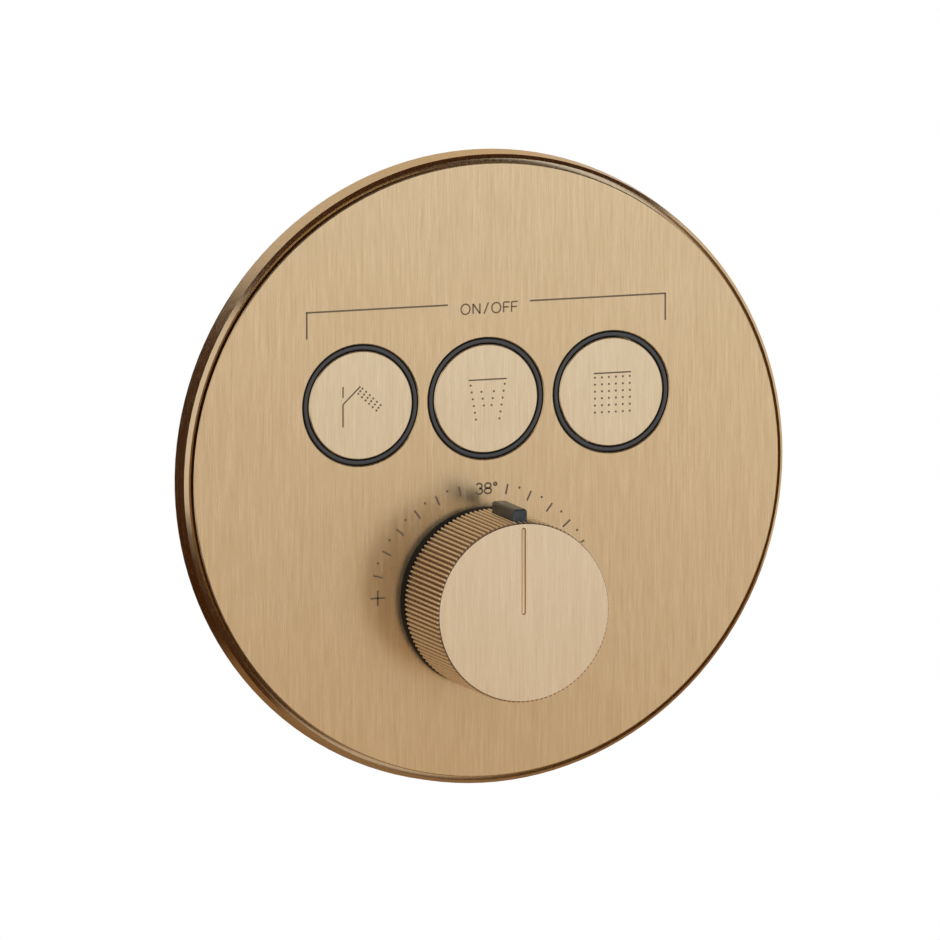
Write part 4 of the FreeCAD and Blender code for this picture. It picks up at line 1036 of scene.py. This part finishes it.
# %% Sign above the buttons, and the temperature
sign_corner_x, sign_top, sign_foot = 53.55, 47.4, 39.8
sign_break = (-11.4, 13.1)
line_width, letter_stroke, figure_stroke = 0.48, 0.42, 0.50
ink_lift = 0.02
letters_foot, letter_height = 44.5, 2.9
letters_x = (("O", -7.45), ("N", -3.85), ("/", -0.6), ("O", 1.75), ("F", 5.25), ("F", 7.65))
figures_foot, figure_height = -6.8, 3.0
figures_x = (("3", -3.05), ("8", -0.45))
degree_place, degree_radius, degree_points = (2.75, -4.15), 0.42, 20
plus_x, plus_z, plus_arm = -32.35, -34.9, 2.2
dial_x, dial_z = -0.8, -37.85
face_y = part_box("face_plate")[0].y
on_face = {"Lift": ink_lift * mm, "Place": (0, face_y, 0), "Material": finishes["ink"]}


def ink(name, strokes, width, body="mixer"):
    """Strokes of ink on the face, riding on a body."""
    piece = drawn(name, strokes)
    follow_recipe(piece, ink_line, {"Width": width * mm, **on_face})
    dress(piece, body)
    report(piece)


half_line = line_width / 2
ink("sign_lines", [
    [(-sign_corner_x - half_line, sign_top), (sign_break[0], sign_top)],
    [(sign_break[1], sign_top), (sign_corner_x + half_line, sign_top)],
    [(-sign_corner_x, sign_top), (-sign_corner_x, sign_foot)],
    [(sign_corner_x, sign_top), (sign_corner_x, sign_foot)],
    [(plus_x - plus_arm, plus_z), (plus_x + plus_arm, plus_z)],
    [(plus_x, plus_z - plus_arm), (plus_x, plus_z + plus_arm)],
    [(-plus_x - plus_arm, plus_z), (-plus_x + plus_arm, plus_z)],
], line_width)
ink("sign_letters", [
    stroke for sign, x in letters_x for stroke in moved(letter(sign), x, letters_foot, letter_height)
], letter_stroke)
degree = [arc(degree_place, (degree_radius, degree_radius), *full_turn, degree_points)]
ink("temperature_figures", degree + [
    stroke for sign, x in figures_x for stroke in moved(letter(sign), x, figures_foot, figure_height)
], figure_stroke)

# %% Dial round the knob
dial_steps = 7
tick_low, tick_high, tick_width = 31.3, 34.25, 0.52
dial_dot_place, dial_dot_radius, dot_turn = 34.0, 0.35, (0, 345)
tick_free_steps, dot_free_steps = 0.5, 1.0
dial_step = math.radians(12.33)
at_the_dial = {"Step": dial_step, "Place": (dial_x * mm, face_y, dial_z * mm), "Material": finishes["ink"]}


def upright_mark(name, outline):
    """One flat mark above the dial's middle, from its (x, height) outline, as thick as the ink."""
    build = bmesh.new()
    face = build.faces.new([build.verts.new((x * mm, z * mm, -ink_lift * mm)) for x, z in outline])
    side = bmesh.ops.extrude_face_region(build, geom=[face])["geom"]
    front = [v for v in side if isinstance(v, bmesh.types.BMVert)]
    bmesh.ops.translate(build, verts=front, vec=(0, 0, 2 * ink_lift * mm))
    return finished_mesh(name, build)


half_tick = tick_width / 2
ticks = upright_mark("dial_ticks", [
    (-half_tick, tick_low), (half_tick, tick_low), (half_tick, tick_high), (-half_tick, tick_high),
])
follow_recipe(ticks, dial_marks, {
    "Count": 2 * dial_steps - 1, "Free steps": tick_free_steps, **at_the_dial,
})
dot_radii = (dial_dot_radius, dial_dot_radius)
dots = upright_mark("dial_dots", arc((0, dial_dot_place), dot_radii, *dot_turn, dot_sides))
follow_recipe(dots, dial_marks, {
    "Count": 2 * dial_steps - 2, "Free steps": dot_free_steps, **at_the_dial,
})
for piece in (ticks, dots):
    dress(piece, "mixer")
    report(piece)

# %% [markdown]
# ## Pictograms on the buttons
# A hand shower on its rail, a falling sheet of water, and a rain head: each is a few lines and rows of dots.
# They ride on the buttons, so they go in when a button is pressed.

# %% Pictograms
pictogram_dot = 0.32
button_z = sum(corner.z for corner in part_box("button_cap_left")) / 2 / mm
drop_rows, drop_count = 3, 6
head_level = 5.4
rail_x, rail_foot, arm_foot, rail_restart, rail_top, arm_tip_x = -5.3, -6.0, 0.5, 2.3, 5.5, -0.1
spray_start, spray_along, spray_across = (0.5, 4.75), (1.08, -1.0), (-0.62, -0.72)
spout_ends, sheet_middle, sheet_top, sheet_fall = (-5.2, 6.2), 0.5, 3.9, 1.95
outer_half, outer_narrowing, inner_half, inner_narrowing = 5.1, 0.32, 2.2, 0.35
inner_rows = (1, 2, 3)
rain_ends, rain_left, rain_top, rain_step_x, rain_step_z = (-5.2, 5.9), -4.85, 4.2, 2.08, 1.98


def hand_shower():
    """A rail, an arm with a tilted head, and three rows of drops that fall away from it."""
    lines = [
        [(rail_x, rail_foot), (rail_x, arm_foot)],
        [(rail_x, arm_foot), (arm_tip_x, head_level)],
        [(rail_x, rail_restart), (rail_x, rail_top)],
    ]
    drops = [
        tuple(s + a * i + b * j for s, a, b in zip(spray_start, spray_along, spray_across))
        for i in range(drop_count) for j in range(drop_rows)
    ]
    return lines, drops


def falling_sheet():
    """A spout seen from the front, with a sheet of drops that narrows as it falls."""
    lines = [[(x, head_level) for x in spout_ends]]
    drops = []
    for i in range(drop_count):
        fall = sheet_top - sheet_fall * i
        for side in (-1, 1):
            drops.append((sheet_middle + side * (outer_half - outer_narrowing * i), fall))
            if i in inner_rows:
                drops.append((sheet_middle + side * (inner_half - inner_narrowing * i), fall))
    return lines, drops


def rain_head():
    """A flat head with an even field of drops under it."""
    lines = [[(x, head_level) for x in rain_ends]]
    drops = [
        (rain_left + rain_step_x * i, rain_top - rain_step_z * j)
        for i in range(drop_count) for j in range(drop_count)
    ]
    return lines, drops


for side, pictogram in zip(button_sides, (hand_shower, falling_sheet, rain_head)):
    cap_low, cap_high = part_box("button_cap_" + side)
    cap_x = (cap_low.x + cap_high.x) / 2 / mm
    lines, drops = pictogram()
    ink("pictogram_lines_" + side, moved(lines, cap_x, button_z), letter_stroke, "button_" + side)
    piece = drawn("pictogram_drops_" + side, [[(cap_x + x, button_z + z)] * 2 for x, z in drops])
    follow_recipe(piece, ink_dots, {"Radius": pictogram_dot * mm, **on_face})
    dress(piece, "button_" + side)
    report(piece)
